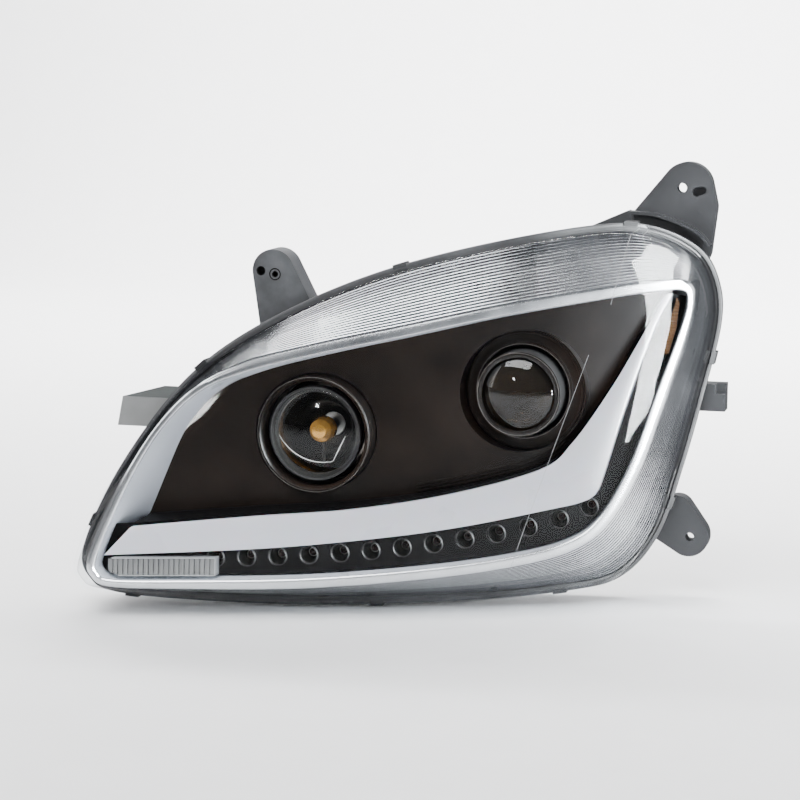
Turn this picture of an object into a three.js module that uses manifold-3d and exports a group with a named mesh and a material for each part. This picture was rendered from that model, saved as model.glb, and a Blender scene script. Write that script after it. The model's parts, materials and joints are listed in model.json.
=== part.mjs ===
// Heavy-truck headlight assembly, left-hand side of the vehicle.
// Millimetres. +X is outboard, -Y is forward along the light's beam, +Z is up.
// Everything is drawn about the middle of the lens; the finished group is then
// moved so that the upper outboard ear's seating face is the origin.

import * as THREE from 'three';
import { mergeVertices } from 'three/addons/utils/BufferGeometryUtils.js';
import Module from 'manifold-3d';

const wasm = await Module();
wasm.setup();

// ---------------------------------------------------------------- driving dimensions

const GAP = 0.35; // air between parts that touch on the real lamp
const WALL = 3; // moulded wall of the housing and the lens

// Flange outline (x, z) and the matching point (x, z) of the bezel's inner lip,
// clockwise from the pointed inboard nose, over the top and back along the bottom.
const STATIONS = [
  [-304, -157, -273, -151], [-294, -120, -261, -116], [-269, -67, -241, -70],
  [-231, -8, -214, -23], [-193, 35, -179, 14], [-146, 70, -135, 34],
  [-80, 105, -65, 52], [-4, 134, 10, 68], [91, 158, 103, 88],
  [184, 173, 194, 103], [235, 170, 239, 109], [278, 147, 268, 110],
  [297, 112, 274, 100], [300, 69, 269, 73], [286, -1, 249, 10],
  [269, -74, 226, -62], [248, -142, 200, -113], [213, -183, 170, -136],
  [157, -195, 119, -149], [53, -202, 35, -160], [-91, -205, -78, -169],
  [-218, -199, -201, -171], [-277, -191, -258, -170], [-296, -178, -271, -163],
];
const STEPS_PER_STATION = 2;
const SPINE = [[-235, -150], [190, 10]]; // ridge that the crowned faces close on

// Depths measured back (+) or forward (-) from the flange surface.
const CROWN = -74; // top of the outer lens
const LIP = -46; // front edge of the bezel's inner lip
const GUIDE = -42; // front of the light guide
const CARRIER = -34; // front of the black carrier under the light guide
const RIM_BACK = 10; // back of the housing's flange
const DRAFT = 0.12; // how much the bezel's return wall leans inwards per mm

const LOW = { x: 120.5, z: 10.5 }; // axis of the low beam
const HIGH = { x: -80, z: -33 }; // axis of the high beam
const LOW_LENS_R = 38;
const LOW_RING_R = 49;
const LOW_RECESS_R = 60;
const HIGH_RING_R = 59;
const HIGH_LENS_R = 45;

const AIM_Y = 55; // plane of the three aiming balls
const PIVOT = { x: 20, z: -70 };
const VERTICAL = { x: 20, z: 95 };
const HORIZONTAL = { x: 185, z: -70 };
const BALL_R = 5;
const ROD_R = 3;
const SOCKET_R = 8.5;
const SOCKET_BACK = 65;

const LOW_COLLAR = { at: LOW, r: 54, from: 60, to: 170 };
const HIGH_COLLAR = { at: HIGH, r: 48, from: 0, to: 84 };

const GUIDE_TOP = [
  [-242, -119], [-128, -109], [-34, -102], [60, -87], [143, -64],
  [172, -38], [205, 13], [232, 64], [253, 106],
];
const GUIDE_BOTTOM = [
  [-267, -147], [-128, -141], [-33, -133], [61, -121], [153, -104],
  [181, -98], [195, -90], [203, -68], [219, -9], [244, 71], [260, 106],
];
const CUP_PATH = [[-163, -151], [-78, -148], [12, -141], [102, -128], [161, -115], [188, -104]];
const CUP_COUNT = 13;
const CUP_R = 9.5;
const CUP_SIDES = 7;
const CLIP_STATIONS = [1.2, 4, 7, 9.6, 13.3, 15.5, 18, 19.4, 21.4];

const UPPER_INBOARD_EAR = {
  front: -3, depth: 28,
  circles: [[-132, 126, 22], [-131, 60, 14], [-101, 78, 16]],
  bolt: [-145, 126, 4.5], pilot: [-130, 123, 3],
};
const UPPER_OUTBOARD_EAR = {
  front: 148, depth: 16,
  circles: [[261.5, 207.5, 26], [271, 188, 21], [268, 145, 19], [215, 178, 9], [225, 150, 9]],
  bolt: [256, 207, 5],
  kidney: [[271, 203, 4.5], [277, 205, 4]],
  shelf: [[203, 182], [234, 179], [271, 165], [287, 150]],
  wedge: [[166, 168], [203, 184], [207, 180], [207, 160]],
};
const LOWER_OUTBOARD_EAR = {
  front: 118, depth: 18,
  circles: [[274, -148, 21], [262, -122, 16], [240, -140, 10]],
  bolt: [275.5, -148.5, 4.5],
};
const SEAT = [264.5, 205]; // where the upper outboard ear sits on its bracket (x, z)

// ---------------------------------------------------------------- surfaces and rings

const flangeY = (x, z) => 0.28 * x + 0.1 * z + 0.00055 * Math.max(0, x) ** 2;
const floorY = (x, z) => 75 + 0.28 * x + 0.1 * z;
const panelY = (x, z) => -8 + 0.19 * x + 0.06 * z + 0.0006 * Math.max(0, x) ** 2;

function closedRing(points) {
  const controls = points.map(([x, z]) => new THREE.Vector3(x, 0, z));
  const curve = new THREE.CatmullRomCurve3(controls, true, 'catmullrom', 0.5);
  const count = points.length * STEPS_PER_STATION;
  return Array.from({ length: count }, (_, i) => {
    const point = curve.getPoint(i / count);
    return [point.x, point.z];
  });
}

function openPath(points, divisions) {
  const controls = points.map(([x, z]) => new THREE.Vector3(x, 0, z));
  const curve = new THREE.CatmullRomCurve3(controls, false, 'catmullrom', 0.5);
  return curve.getSpacedPoints(divisions).map((point) => [point.x, point.z]);
}

function shifted(path, distance, closed) {
  return path.map(([x, z], i) => {
    const before = closed ? path.at(i - 1) : path[Math.max(0, i - 1)];
    const after = closed ? path[(i + 1) % path.length] : path[Math.min(path.length - 1, i + 1)];
    const along = [after[0] - before[0], after[1] - before[1]];
    const length = Math.hypot(along[0], along[1]);
    const amount = typeof distance === 'function' ? distance(x, z, i) : distance;
    return [x + amount * along[1] / length, z - amount * along[0] / length];
  });
}

const inset = (ring, distance) => shifted(ring, distance, true);
const mix = (a, b, share) => a.map((p, i) => [
  p[0] + (b[i][0] - p[0]) * share,
  p[1] + (b[i][1] - p[1]) * share,
]);

const clamp = (value) => Math.min(1, Math.max(0, value));

// How far along the spine a point lies: 0 at its nose end and 1 at its outboard end.
function alongSpine(x, z) {
  const [[ax, az], [bx, bz]] = SPINE;
  const span = (bx - ax) ** 2 + (bz - az) ** 2;
  return ((x - ax) * (bx - ax) + (z - az) * (bz - az)) / span;
}

function towardsSpine(ring, share) {
  const [[ax, az], [bx, bz]] = SPINE;
  return ring.map(([x, z]) => {
    const t = clamp(alongSpine(x, z));
    const [sx, sz] = [ax + (bx - ax) * t, az + (bz - az) * t];
    return [x + (sx - x) * share, z + (sz - z) * share];
  });
}

const onto = (ring, surface, offset) => ring.map(
  ([x, z]) => new THREE.Vector3(x, surface(x, z) + offset, z),
);
const flat = (ring, y) => ring.map(([x, z]) => new THREE.Vector3(x, y, z));

const FLANGE = closedRing(STATIONS.map(([x, z]) => [x, z]));
const LIP_RING = closedRing(STATIONS.map(([, , x, z]) => [x, z]));
const lipToPanel = (x, z) => panelY(x, z) - flangeY(x, z) - LIP;
// The return wall leans in further beside the nose, above the light guide.
const flank = (x, z) => 7 * clamp((-205 - x) / 50) * clamp((z + 125) / 15);
const PANEL_RING = inset(LIP_RING, (x, z) => DRAFT * lipToPanel(x, z) + flank(x, z));
const LIP_OUTER = inset(LIP_RING, (x, z, i) => {
  const band = Math.hypot(x - FLANGE[i][0], z - FLANGE[i][1]);
  return -Math.min(11, 0.28 * band);
});

// ---------------------------------------------------------------- solids

function solid(geometry) {
  geometry.deleteAttribute('normal');
  geometry.deleteAttribute('uv');
  const merged = mergeVertices(geometry, 1e-4);
  const points = merged.attributes.position.array;
  const corner = (i) => new THREE.Vector3().fromArray(points, 3 * i);
  const faces = [];
  let volume = 0;
  for (let i = 0; i < merged.index.count; i += 3) {
    const [a, b, c] = [0, 1, 2].map((k) => merged.index.array[i + k]);
    if (a === b || b === c || c === a) continue;
    faces.push([a, b, c]);
    volume += corner(a).dot(corner(b).cross(corner(c)));
  }
  const outward = volume > 0 ? faces : faces.map(([a, b, c]) => [a, c, b]);
  return new wasm.Manifold(new wasm.Mesh({
    numProp: 3,
    vertProperties: points,
    triVerts: new Uint32Array(outward.flat()),
  }));
}

function fromFaces(points, faces) {
  const geometry = new THREE.BufferGeometry();
  const coordinates = points.flatMap((point) => point.toArray());
  geometry.setAttribute('position', new THREE.Float32BufferAttribute(coordinates, 3));
  geometry.setIndex(faces.flat());
  return solid(geometry);
}

function bridge(loops, closed) {
  const count = loops[0].length;
  const faces = [];
  for (let row = 0; row < loops.length - (closed ? 0 : 1); row += 1) {
    const next = (row + 1) % loops.length;
    for (let i = 0; i < count; i += 1) {
      const j = (i + 1) % count;
      const [a, b, c, d] = [row * count + i, row * count + j, next * count + j, next * count + i];
      faces.push([a, b, c], [a, c, d]);
    }
  }
  return faces;
}

const area = (a, b, c) => (b.x - a.x) * (c.y - a.y) - (b.y - a.y) * (c.x - a.x);

function cap(contour, start, forwards) {
  const turn = Math.sign(THREE.ShapeUtils.area(contour)) * (forwards ? 1 : -1);
  return THREE.ShapeUtils.triangulateShape(contour, []).map(([a, b, c]) => {
    const same = Math.sign(area(contour[a], contour[b], contour[c])) === turn;
    return (same ? [a, b, c] : [a, c, b]).map((i) => start + i);
  });
}

// Three ways to close the end of a loft: across a given section, flat as seen from the
// front, or zipped shut along the spine where a crowned ring has become narrow.
const across = (contour) => (loop, start, forwards) => cap(contour, start, forwards);

function flatEnd(loop, start, forwards) {
  return cap(loop.map((point) => new THREE.Vector2(point.x, point.z)), start, forwards);
}

function zippedEnd(loop, start, forwards) {
  const reach = loop.map((point) => alongSpine(point.x, point.z));
  const faces = [];
  let [up, down] = [1, loop.length];
  while (down - up > 2) {
    const climb = reach[up + 1] <= reach[down - 1];
    const next = climb ? up + 1 : down - 1;
    faces.push([up, next, down % loop.length]);
    if (climb) up = next;
    else down = next;
  }
  faces.push([up, up + 1, down % loop.length]);
  return faces.map(([a, b, c]) => (forwards ? [a, b, c] : [a, c, b]).map((i) => start + i));
}

// Skin over a stack of loops, closed at both ends.
function loft(loops, first = flatEnd, last = flatEnd) {
  return fromFaces(loops.flat(), [
    ...first(loops[0], 0, false),
    ...bridge(loops, false),
    ...last(loops.at(-1), (loops.length - 1) * loops[0].length, true),
  ]);
}

const crown = (loops) => loft(loops, zippedEnd, zippedEnd);

// Skin round a closed profile, such as a frame that follows the flange.
const hoop = (loops) => fromFaces(loops.flat(), bridge(loops, true));

function revolve(profile, centre, segments = 20) {
  const points = profile.map(([r, y]) => new THREE.Vector2(r, y));
  if (profile[0][0] > 0) points.push(points[0].clone());
  return solid(new THREE.LatheGeometry(points, segments).translate(centre.x, 0, centre.z));
}

const disc = (centre, r, from, to, segments = 20) => revolve(
  [[0, from], [r, from], [r, to], [0, to]],
  centre,
  segments,
);
const tube = (centre, outer, inner, from, to, segments = 20) => revolve(
  [[inner, from], [outer, from], [outer, to], [inner, to]],
  centre,
  segments,
);

function box(from, to) {
  const size = to.map((value, i) => value - from[i]);
  const middle = to.map((value, i) => (value + from[i]) / 2);
  return solid(new THREE.BoxGeometry(...size).translate(...middle));
}

// Convex outline round a few circles [x, z, r], the shape of a moulded ear.
function roundHull(circles, shrink = 0, directions = 24) {
  const points = [];
  for (let i = 0; i < directions; i += 1) {
    const angle = (i / directions) * 2 * Math.PI;
    const [dx, dz] = [Math.cos(angle), Math.sin(angle)];
    const reach = circles.map(([x, z, r]) => x * dx + z * dz + r);
    const [x, z, r] = circles[reach.indexOf(Math.max(...reach))];
    points.push([x + (r - shrink) * dx, z + (r - shrink) * dz]);
  }
  return points;
}

const prism = (ring, from, to) => loft([flat(ring, from), flat(ring, to)]);
const slab = (ring, surface, from, to) => loft([onto(ring, surface, from), onto(ring, surface, to)]);
const QUAD = [[0, 0], [1, 0], [1, 1], [0, 1]].map(([u, v]) => new THREE.Vector2(u, v));

// Plate between two open paths of equal length, as thick as from..to off the surface.
function band(left, right, surface, from, to, floor = surface) {
  return loft(left.map((_, i) => [
    ...onto([left[i], right[i]], surface, from),
    ...onto([right[i], left[i]], floor, to),
  ]), across(QUAD), across(QUAD));
}

const strip = (path, half, from, to) => band(
  shifted(path, -half, false),
  shifted(path, half, false),
  flangeY,
  from,
  to,
);
const join = (...solids) => solids.reduce((whole, piece) => whole.add(piece));
const biggest = (shape) => shape.decompose().sort((a, b) => b.volume() - a.volume())[0];
const grown = (circles, by) => circles.map(([x, z, r]) => [x, z, r + by]);

// ---------------------------------------------------------------- finishes

const FINISHES = {
  housing: [0x5a5c61, 0.6, 0], lens: [0xf2f6fa, 0.05, 0], silver: [0xd6d8dc, 0.25, 0.9],
  black: [0x231c18, 0.35, 0], guide: [0xd4d4de, 0.3, 0], chrome: [0xe8eaee, 0.08, 1],
  glass: [0xdfe8f0, 0.02, 0], amber: [0xb4560f, 0.2, 0], rubber: [0x17181a, 0.8, 0],
  steel: [0xa9adb3, 0.35, 0.9], frame: [0x3a3c40, 0.55, 0], board: [0xe9ebe6, 0.5, 0],
  nylon: [0xe4e0d2, 0.5, 0], clip: [0x2b2c2f, 0.4, 0.6],
  clear: [0xf4f6f8, 0.15, 0],
};

const lamp = new THREE.Group();

function add(name, shape, finish) {
  const { vertProperties, triVerts } = shape.getMesh();
  const geometry = new THREE.BufferGeometry();
  geometry.setAttribute('position', new THREE.Float32BufferAttribute(vertProperties, 3));
  geometry.setIndex(new THREE.Uint32BufferAttribute(triVerts, 1));
  geometry.computeVertexNormals();
  const [color, roughness, metalness] = FINISHES[finish];
  const material = new THREE.MeshStandardMaterial({ color, roughness, metalness });
  const mesh = new THREE.Mesh(geometry, material);
  mesh.name = name;
  lamp.add(mesh);
}

// ---------------------------------------------------------------- housing and ears

function panOuter(grow = 0) {
  const front = 3.8 - grow;
  const floorRing = inset(mix(FLANGE, LIP_RING, 0.3), -grow);
  return loft([
    onto(towardsSpine(FLANGE, 0.93), flangeY, front),
    onto(towardsSpine(FLANGE, 0.5), flangeY, front),
    onto(inset(FLANGE, 0.6 - grow), flangeY, front),
    onto(inset(FLANGE, 0.6 - grow), flangeY, RIM_BACK + grow),
    onto(inset(FLANGE, 8 - grow), flangeY, RIM_BACK + grow),
    onto(floorRing, floorY, grow),
  ], zippedEnd);
}

function panInner() {
  const ahead = -2;
  const land = 7;
  return loft([
    onto(towardsSpine(FLANGE, 0.93), flangeY, ahead),
    onto(towardsSpine(FLANGE, 0.5), flangeY, ahead),
    onto(inset(FLANGE, 2.6), flangeY, ahead),
    onto(inset(FLANGE, 2.6), flangeY, land),
    onto(inset(FLANGE, 11), flangeY, land),
    onto(mix(FLANGE, LIP_RING, 0.4), floorY, -WALL),
  ], zippedEnd);
}

const BOSSES = [
  { at: PIVOT, r: 11, from: 67.5, to: 80, hole: 3.5 },
  { at: VERTICAL, r: 13, from: 84, to: 97, hole: 4.2 },
  { at: HORIZONTAL, r: 13, from: 113, to: 130, hole: 4.2 },
  { at: { x: -30, z: 70 }, r: 10, from: 70, to: 80, hole: 3 },
  { at: { x: -215, z: -95 }, r: 10, from: 1, to: 13, hole: 3 },
];
const INLET = { x: -165, z: -130, back: 33 };
const DRIVER = { x: 70, z: -132, back: 94 };

// Block at the inboard side that slides past the vehicle's bodywork; its free end is skewed.
function sideGuide() {
  const end = (bottom, top) => [[bottom, -30], [-222, -30], [-222, 0], [top, 0]];
  return loft([flat(end(-283, -277), -52), flat(end(-268, -262), 24)]);
}

function housing() {
  const pads = join(
    box([INLET.x - 22, 12, INLET.z - 15], [INLET.x + 22, INLET.back, INLET.z + 15]),
    box([DRIVER.x - 36, 66, DRIVER.z - 20], [DRIVER.x + 36, DRIVER.back, DRIVER.z + 20]),
    sideGuide(),
    box([262, 138, -20], [306, 160, 8]).subtract(box([296, 137, -2], [307, 148, 9])),
  );
  let shell = panOuter().add(pads);
  for (const boss of BOSSES.slice(0, 3)) shell = shell.add(disc(boss.at, boss.r, boss.from, boss.to, 20));
  shell = shell.subtract(panInner());
  for (const boss of BOSSES) {
    shell = shell.add(disc(boss.at, boss.r, boss.from, boss.to, 20));
    shell = shell.subtract(disc(boss.at, boss.hole, boss.from - 20, boss.to + 20, 12));
  }
  for (const { at, r, from, to } of [LOW_COLLAR, HIGH_COLLAR]) {
    shell = shell.subtract(disc(at, r - WALL, from - 40, to, 20));
  }
  return shell.subtract(box([INLET.x - 15, 0, INLET.z - 9], [INLET.x + 15, INLET.back + 1, INLET.z + 9]));
}

// Round collar that a dust cap pushes over, standing on the sloping back of the pan.
const collar = ({ at, r, from, to }) => biggest(tube(at, r, r - WALL, from, to).subtract(panOuter(GAP)));

// Moulded ear: a front plate with side walls, bored bosses, and on one ear a blind kidney
// slot and a curved shelf with a wedge at its end, which stiffen its foot.
function ear({ front, depth, circles, bolt, pilot, kidney, shelf, wedge }) {
  const plate = 5;
  const sideWall = 3.5;
  const bossWall = 8;
  const back = front + depth;
  const outline = prism(roundHull(circles), front, back);
  let shape = outline.subtract(prism(roundHull(circles, sideWall), front + plate, back + 1));
  if (kidney) {
    const floor = front + 9;
    shape = shape.add(prism(roundHull(grown(kidney, WALL)), front + 1, floor + 2));
    shape = shape.subtract(prism(roundHull(kidney), front - 1, floor));
  }
  if (shelf) {
    const half = 1.6;
    const lip = front - 13;
    const path = openPath(shelf, 12);
    const ring = [...shifted(path, -half, false), ...shifted(path, half, false).reverse()];
    shape = shape.add(prism(ring, lip, front + 4)).add(prism(wedge, lip, front + plate));
  }
  for (const [x, z, r] of [bolt, pilot].filter(Boolean)) {
    shape = shape.add(disc({ x, z }, r + bossWall, front + 1, back, 20).intersect(outline));
  }
  for (const [x, z, r] of [bolt, pilot].filter(Boolean)) {
    shape = shape.subtract(disc({ x, z }, r, front - 1, back + 1, 20));
  }
  return biggest(shape.subtract(panOuter(GAP)));
}

// ---------------------------------------------------------------- lens, seal and clips

// How far inside the flange the lens wall stands at its front; it leans in more at the nose.
const wallInset = (x) => 6 + 5.5 * clamp(-x / 230);

function outerLens() {
  const foot = 3;
  const outside = inset(FLANGE, wallInset);
  const inside = inset(FLANGE, (x) => wallInset(x) + WALL);
  const rows = [[0.18, -64], [0.5, -71], [0.93, CROWN]];
  return crown([
    ...rows.map(([share, y]) => onto(towardsSpine(inside, share), flangeY, y + WALL)).reverse(),
    onto(inside, flangeY, -47),
    onto(inset(FLANGE, 6.5), flangeY, foot),
    onto(FLANGE, flangeY, foot),
    onto(FLANGE, flangeY, 0),
    onto(inset(FLANGE, 3.5), flangeY, 0),
    onto(outside, flangeY, -50),
    ...rows.map(([share, y]) => onto(towardsSpine(outside, share), flangeY, y)),
  ]);
}

const lensSeal = () => hoop([[3, 3.4], [6.4, 3.4], [6.4, 6.6], [3, 6.6]].map(
  ([into, y]) => onto(inset(FLANGE, into), flangeY, y),
));

// Spring clip gripping the lens foot and the housing flange at one place on the rim.
function clip(station) {
  const profile = [
    [-1.8, -1.5], [3, -1.5], [3, -0.5], [-0.7, -0.5],
    [-0.7, 10.5], [5, 10.5], [5, 11.5], [-1.8, 11.5],
  ];
  const halfLength = 6.5;
  const at = Math.round(station * STEPS_PER_STATION);
  const [x, z] = FLANGE[at];
  const [before, after] = [FLANGE[at - 1], FLANGE[(at + 1) % FLANGE.length]];
  const along = new THREE.Vector2(after[0] - before[0], after[1] - before[1]).normalize();
  const end = (shift) => profile.map(([into, y]) => {
    const px = x + along.x * shift + along.y * into;
    const pz = z + along.y * shift - along.x * into;
    return new THREE.Vector3(px, flangeY(px, pz) + y, pz);
  });
  const section = profile.map(([u, v]) => new THREE.Vector2(u, v));
  return loft([end(-halfLength), end(halfLength)], across(section), across(section));
}

// ---------------------------------------------------------------- bezels and front lighting

const lipFloor = (x, z) => panelY(x, z) - GAP;

const outerBezel = () => hoop([
  onto(inset(FLANGE, 8), flangeY, -1),
  onto(LIP_OUTER, flangeY, LIP + 3),
  onto(inset(LIP_RING, -3), flangeY, LIP - 1),
  onto(LIP_RING, flangeY, LIP),
  onto(PANEL_RING, lipFloor, 0),
  onto(inset(PANEL_RING, -2.2), lipFloor, 0),
  onto(inset(LIP_RING, -2.2), flangeY, LIP + 4),
  onto(LIP_OUTER, flangeY, LIP + 6),
  onto(inset(FLANGE, 10), flangeY, 2),
]);

const PATH_STEPS = 24;
const TOP_EDGE = openPath(GUIDE_TOP, PATH_STEPS);
const BOTTOM_EDGE = openPath(GUIDE_BOTTOM, PATH_STEPS);
const CARRIER_TOP = shifted(TOP_EDGE, -2.5, false);
const LIGHT_PATH = openPath(
  [[-230, -131], [-128, -125], [-34, -117], [60, -104], [150, -83], [183, -66], [212, -6], [237, 63]],
  20,
);

// The part of a ring from above the nose, along the bottom and up to the outboard corner.
function lowerRun(ring) {
  const last = 12 * STEPS_PER_STATION - 1;
  return [...ring.slice(last), ...ring.slice(0, STEPS_PER_STATION + 1)].reverse();
}

function innerBezel() {
  const thick = 2.5;
  const rings = [0, 0.5, 0.93].map((share) => towardsSpine(inset(PANEL_RING, -6), share));
  const face = (offset) => rings.map((ring) => onto(ring, panelY, offset));
  const behind = crown([...face(0).reverse(), ...face(60)]);
  const wall = tube(LOW, LOW_RECESS_R + 2, LOW_RECESS_R, -30, 31, 24).intersect(behind);
  const cutAbove = shifted(TOP_EDGE, (x) => (x > 220 ? -5 : 4), false);
  const cutBelow = lowerRun(inset(LIP_RING, -14)).reverse();
  const under = prism([...cutAbove, ...cutBelow], -300, 300);
  return crown([...face(0).reverse(), ...face(thick)])
    .subtract(disc(LOW, LOW_RECESS_R + 0.5, -200, 200, 24))
    .add(wall)
    .subtract(disc(HIGH, HIGH_RING_R + 1, -200, 200, 24))
    .subtract(under);
}

function drlCarrier() {
  const thick = 2.5;
  const rim = openPath(lowerRun(inset(LIP_RING, 3)), PATH_STEPS);
  const skirt = band(CARRIER_TOP, shifted(TOP_EDGE, 0.2, false), flangeY, CARRIER, 0, lipFloor);
  let shape = band(CARRIER_TOP, rim, flangeY, CARRIER, CARRIER + thick)
    .add(skirt)
    .subtract(strip(LIGHT_PATH, 3, CARRIER - 5, CARRIER + 8));
  for (const [x, z] of CUPS) shape = shape.subtract(disc({ x, z }, CUP_R, -200, 200, CUP_SIDES));
  return shape;
}

const CUPS = openPath(CUP_PATH, CUP_COUNT - 1);
const lightGuide = () => band(TOP_EDGE, BOTTOM_EDGE, flangeY, GUIDE, CARRIER - GAP);
const drlBoard = () => strip(LIGHT_PATH, 4.8, CARRIER + 3, CARRIER + 4.6);

const CUP_STRIP_FRONT = CARRIER + 2.5 + GAP;
const CUP_DEPTH = 12;

function turnCups() {
  let cups = strip(openPath(CUP_PATH, 12), 9.5, CUP_STRIP_FRONT, CUP_STRIP_FRONT + 1.6);
  const wells = CUPS.map(([x, z]) => ({ x, z, front: flangeY(x, z) + CUP_STRIP_FRONT }));
  for (const { x, z, front } of wells) {
    const back = front + CUP_DEPTH;
    cups = cups.add(revolve([[0, front], [8.8, front], [6.2, back], [0, back]], { x, z }, CUP_SIDES));
  }
  for (const { x, z, front } of wells) {
    const [ahead, behind] = [front - 8, front + CUP_DEPTH + 1];
    cups = cups.subtract(revolve(
      [[0, ahead], [7.6, ahead], [7.6, front], [4, behind], [0, behind]],
      { x, z },
      CUP_SIDES,
    ));
  }
  return cups;
}

function turnBoard() {
  let board = strip(openPath(CUP_PATH, 12), 6, -13.6, -12);
  for (const [x, z] of CUPS) {
    const y = flangeY(x, z) - 13;
    board = board.add(box([x - 1.4, y - 3.4, z - 1.4], [x + 1.4, y, z + 1.4]));
  }
  return board;
}

const SIDE_REFLECTOR = [[263, 103], [266, 97], [264, 72], [256, 44], [248, 46], [253, 68], [262, 96]];
const REFLEX = [[-160, -149.5], [-160, -165.5], [-254, -165.5], [-264, -160], [-264, -151.5]];

const lowRing = () => revolve([
  [LOW_RING_R - 2.5, 24], [LOW_RING_R, 24], [LOW_RING_R, 32], [LOW_RECESS_R - 2.5, 32],
  [LOW_RECESS_R - 2.5, 31.5], [LOW_RECESS_R - GAP, 31.5], [LOW_RECESS_R - GAP, 50],
  [LOW_RECESS_R - 2.5, 50], [LOW_RECESS_R - 2.5, 34.5], [LOW_RING_R - 2.5, 34.5],
], LOW, 24);

const highRing = () => revolve([
  [HIGH_RING_R - 3, -37], [HIGH_RING_R, -35.5], [HIGH_RING_R, -10],
  [HIGH_RING_R - 2.5, -10], [HIGH_RING_R - 5.5, -20], [HIGH_RING_R - 5.5, -33],
], HIGH, 24);

// ---------------------------------------------------------------- aiming mechanism

const PLATE_Y = [60, 64];
const HIGH_PLATE_Y = [6, 10];

function aimFrame() {
  const around = ({ x, z }, r) => [x, z, r];
  const main = prism(roundHull([
    around(LOW, 56), around(PIVOT, 14), around(VERTICAL, 14), around(HORIZONTAL, 13),
  ]), ...PLATE_Y);
  const left = prism(roundHull([around(HIGH, 58), [0, 10, 8], [0, -60, 8]]), ...HIGH_PLATE_Y);
  const web = box([4, HIGH_PLATE_Y[0], -62], [8.5, PLATE_Y[1], 12]);
  const through = [PLATE_Y[0] - 5, PLATE_Y[1] + 5];
  return join(main, left, web)
    .subtract(disc(LOW, 44, ...through, 20))
    .subtract(disc(HIGH, 44, HIGH_PLATE_Y[0] - 5, HIGH_PLATE_Y[1] + 5, 20))
    .subtract(disc(PIVOT, SOCKET_R + 1, ...through, 20))
    .subtract(disc(VERTICAL, SOCKET_R + GAP, ...through, 20))
    .subtract(disc(HORIZONTAL, SOCKET_R + GAP, ...through, 20));
}

// Cup that snaps over an aiming ball, open to the back for the rod.
function ballSocket(centre, body, flange) {
  const cavity = BALL_R + 0.6;
  const neck = 4.4;
  const mouth = Math.asin(neck / cavity);
  const arc = Array.from({ length: 5 }, (_, i) => {
    const angle = mouth + (Math.PI - mouth) * (i / 4);
    return [i === 4 ? 0 : cavity * Math.sin(angle), AIM_Y + cavity * Math.cos(angle)];
  });
  return revolve([
    [0, AIM_Y - 9], [body, AIM_Y - 9], [body, flange - 3], [11, flange - 3], [11, flange],
    [body, flange], [body, SOCKET_BACK], [neck + 0.4, SOCKET_BACK], ...arc,
  ], centre, 14);
}

function ballRod(centre, end, seat) {
  const neck = Math.asin(ROD_R / BALL_R);
  const ball = Array.from({ length: 6 }, (_, i) => {
    const angle = Math.PI - (Math.PI - neck) * (i / 5);
    return [i === 0 ? 0 : BALL_R * Math.sin(angle), AIM_Y + BALL_R * Math.cos(angle)];
  });
  const shoulder = seat
    ? [[ROD_R, seat - 1.5], [7.5, seat - 1.5], [7.5, seat], [ROD_R, seat]]
    : [];
  return revolve([...ball, ...shoulder, [ROD_R, end - 1], [ROD_R - 1, end], [0, end]], centre, 12);
}

function knob(centre, from) {
  const lobes = 8;
  const outline = Array.from({ length: lobes * 3 }, (_, i) => {
    const angle = (i / (lobes * 3)) * 2 * Math.PI;
    const r = 12 + 1.2 * Math.cos(lobes * angle);
    return [centre.x + r * Math.cos(angle), centre.z + r * Math.sin(angle)];
  });
  return prism(outline, from, from + 9)
    .add(disc(centre, 7, from + 8, from + 14, 20))
    .subtract(disc(centre, ROD_R + 0.4, from - 1, from + 15, 16));
}

// ---------------------------------------------------------------- low beam

function lowLens() {
  const rise = 14;
  const rim = 5;
  const sphere = (LOW_LENS_R ** 2 + rise ** 2) / (2 * rise);
  const dome = Array.from({ length: 7 }, (_, i) => {
    const r = (LOW_LENS_R * i) / 6;
    return [r, rim - rise + sphere - Math.sqrt(sphere ** 2 - r ** 2)];
  });
  return revolve([...dome, [LOW_LENS_R, rim + 3], [0, rim + 3]], LOW, 20);
}

const lowRetainer = () => tube(LOW, 42, 36.6, 1, 3.35, 20);

const lowHolder = () => revolve([
  [38.4, 3.7], [42, 3.7], [42, 54], [50, 56], [50, 59.65], [39.5, 59.65],
  [39.5, 12], [35.5, 11], [35.5, 8.4], [38.4, 8.4],
], LOW, 20);

const lowShield = () => disc(LOW, 43, 60.6, 62.4, 32)
  .subtract(box([LOW.x - 33, 59, LOW.z + 1], [LOW.x, 64, LOW.z + 26]))
  .subtract(box([LOW.x - 0.1, 59, LOW.z - 3], [LOW.x + 33, 64, LOW.z + 26]));

// Curved reflector with a mounting flange round it and a sleeve for the bulb at its neck.
function bowl(axis, { rim, rimY, neck, neckY, flange, seat: [seatFrom, seatTo] }) {
  const thick = 2.5;
  const sleeve = 6;
  const steps = 4;
  const curve = (shrink) => Array.from({ length: steps }, (_, i) => {
    const share = i / (steps - 1);
    const r = neck + (rim - neck) * share;
    const y = neckY - (neckY - rimY) * share ** 1.9;
    return [r - shrink, y - (share === 1 ? 0 : shrink * 0.6)];
  });
  const inside = curve(thick);
  const outside = curve(0).reverse();
  return revolve([
    ...inside, [rim, rimY], [rim, seatFrom], [flange, seatFrom], [flange, seatTo], [rim - 1, seatTo],
    ...outside.filter(([, y]) => y > seatTo + 1),
    [neck, neckY + sleeve], [neck - thick, neckY + sleeve],
  ], axis);
}

const LOW_BULB_SEAT = 124;
const HIGH_BULB_SEAT = 40;
const lowReflector = () => bowl(LOW, {
  rim: 43, rimY: 64.4, neck: 16, neckY: 118, flange: 50, seat: [64.4, 67],
});

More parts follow.
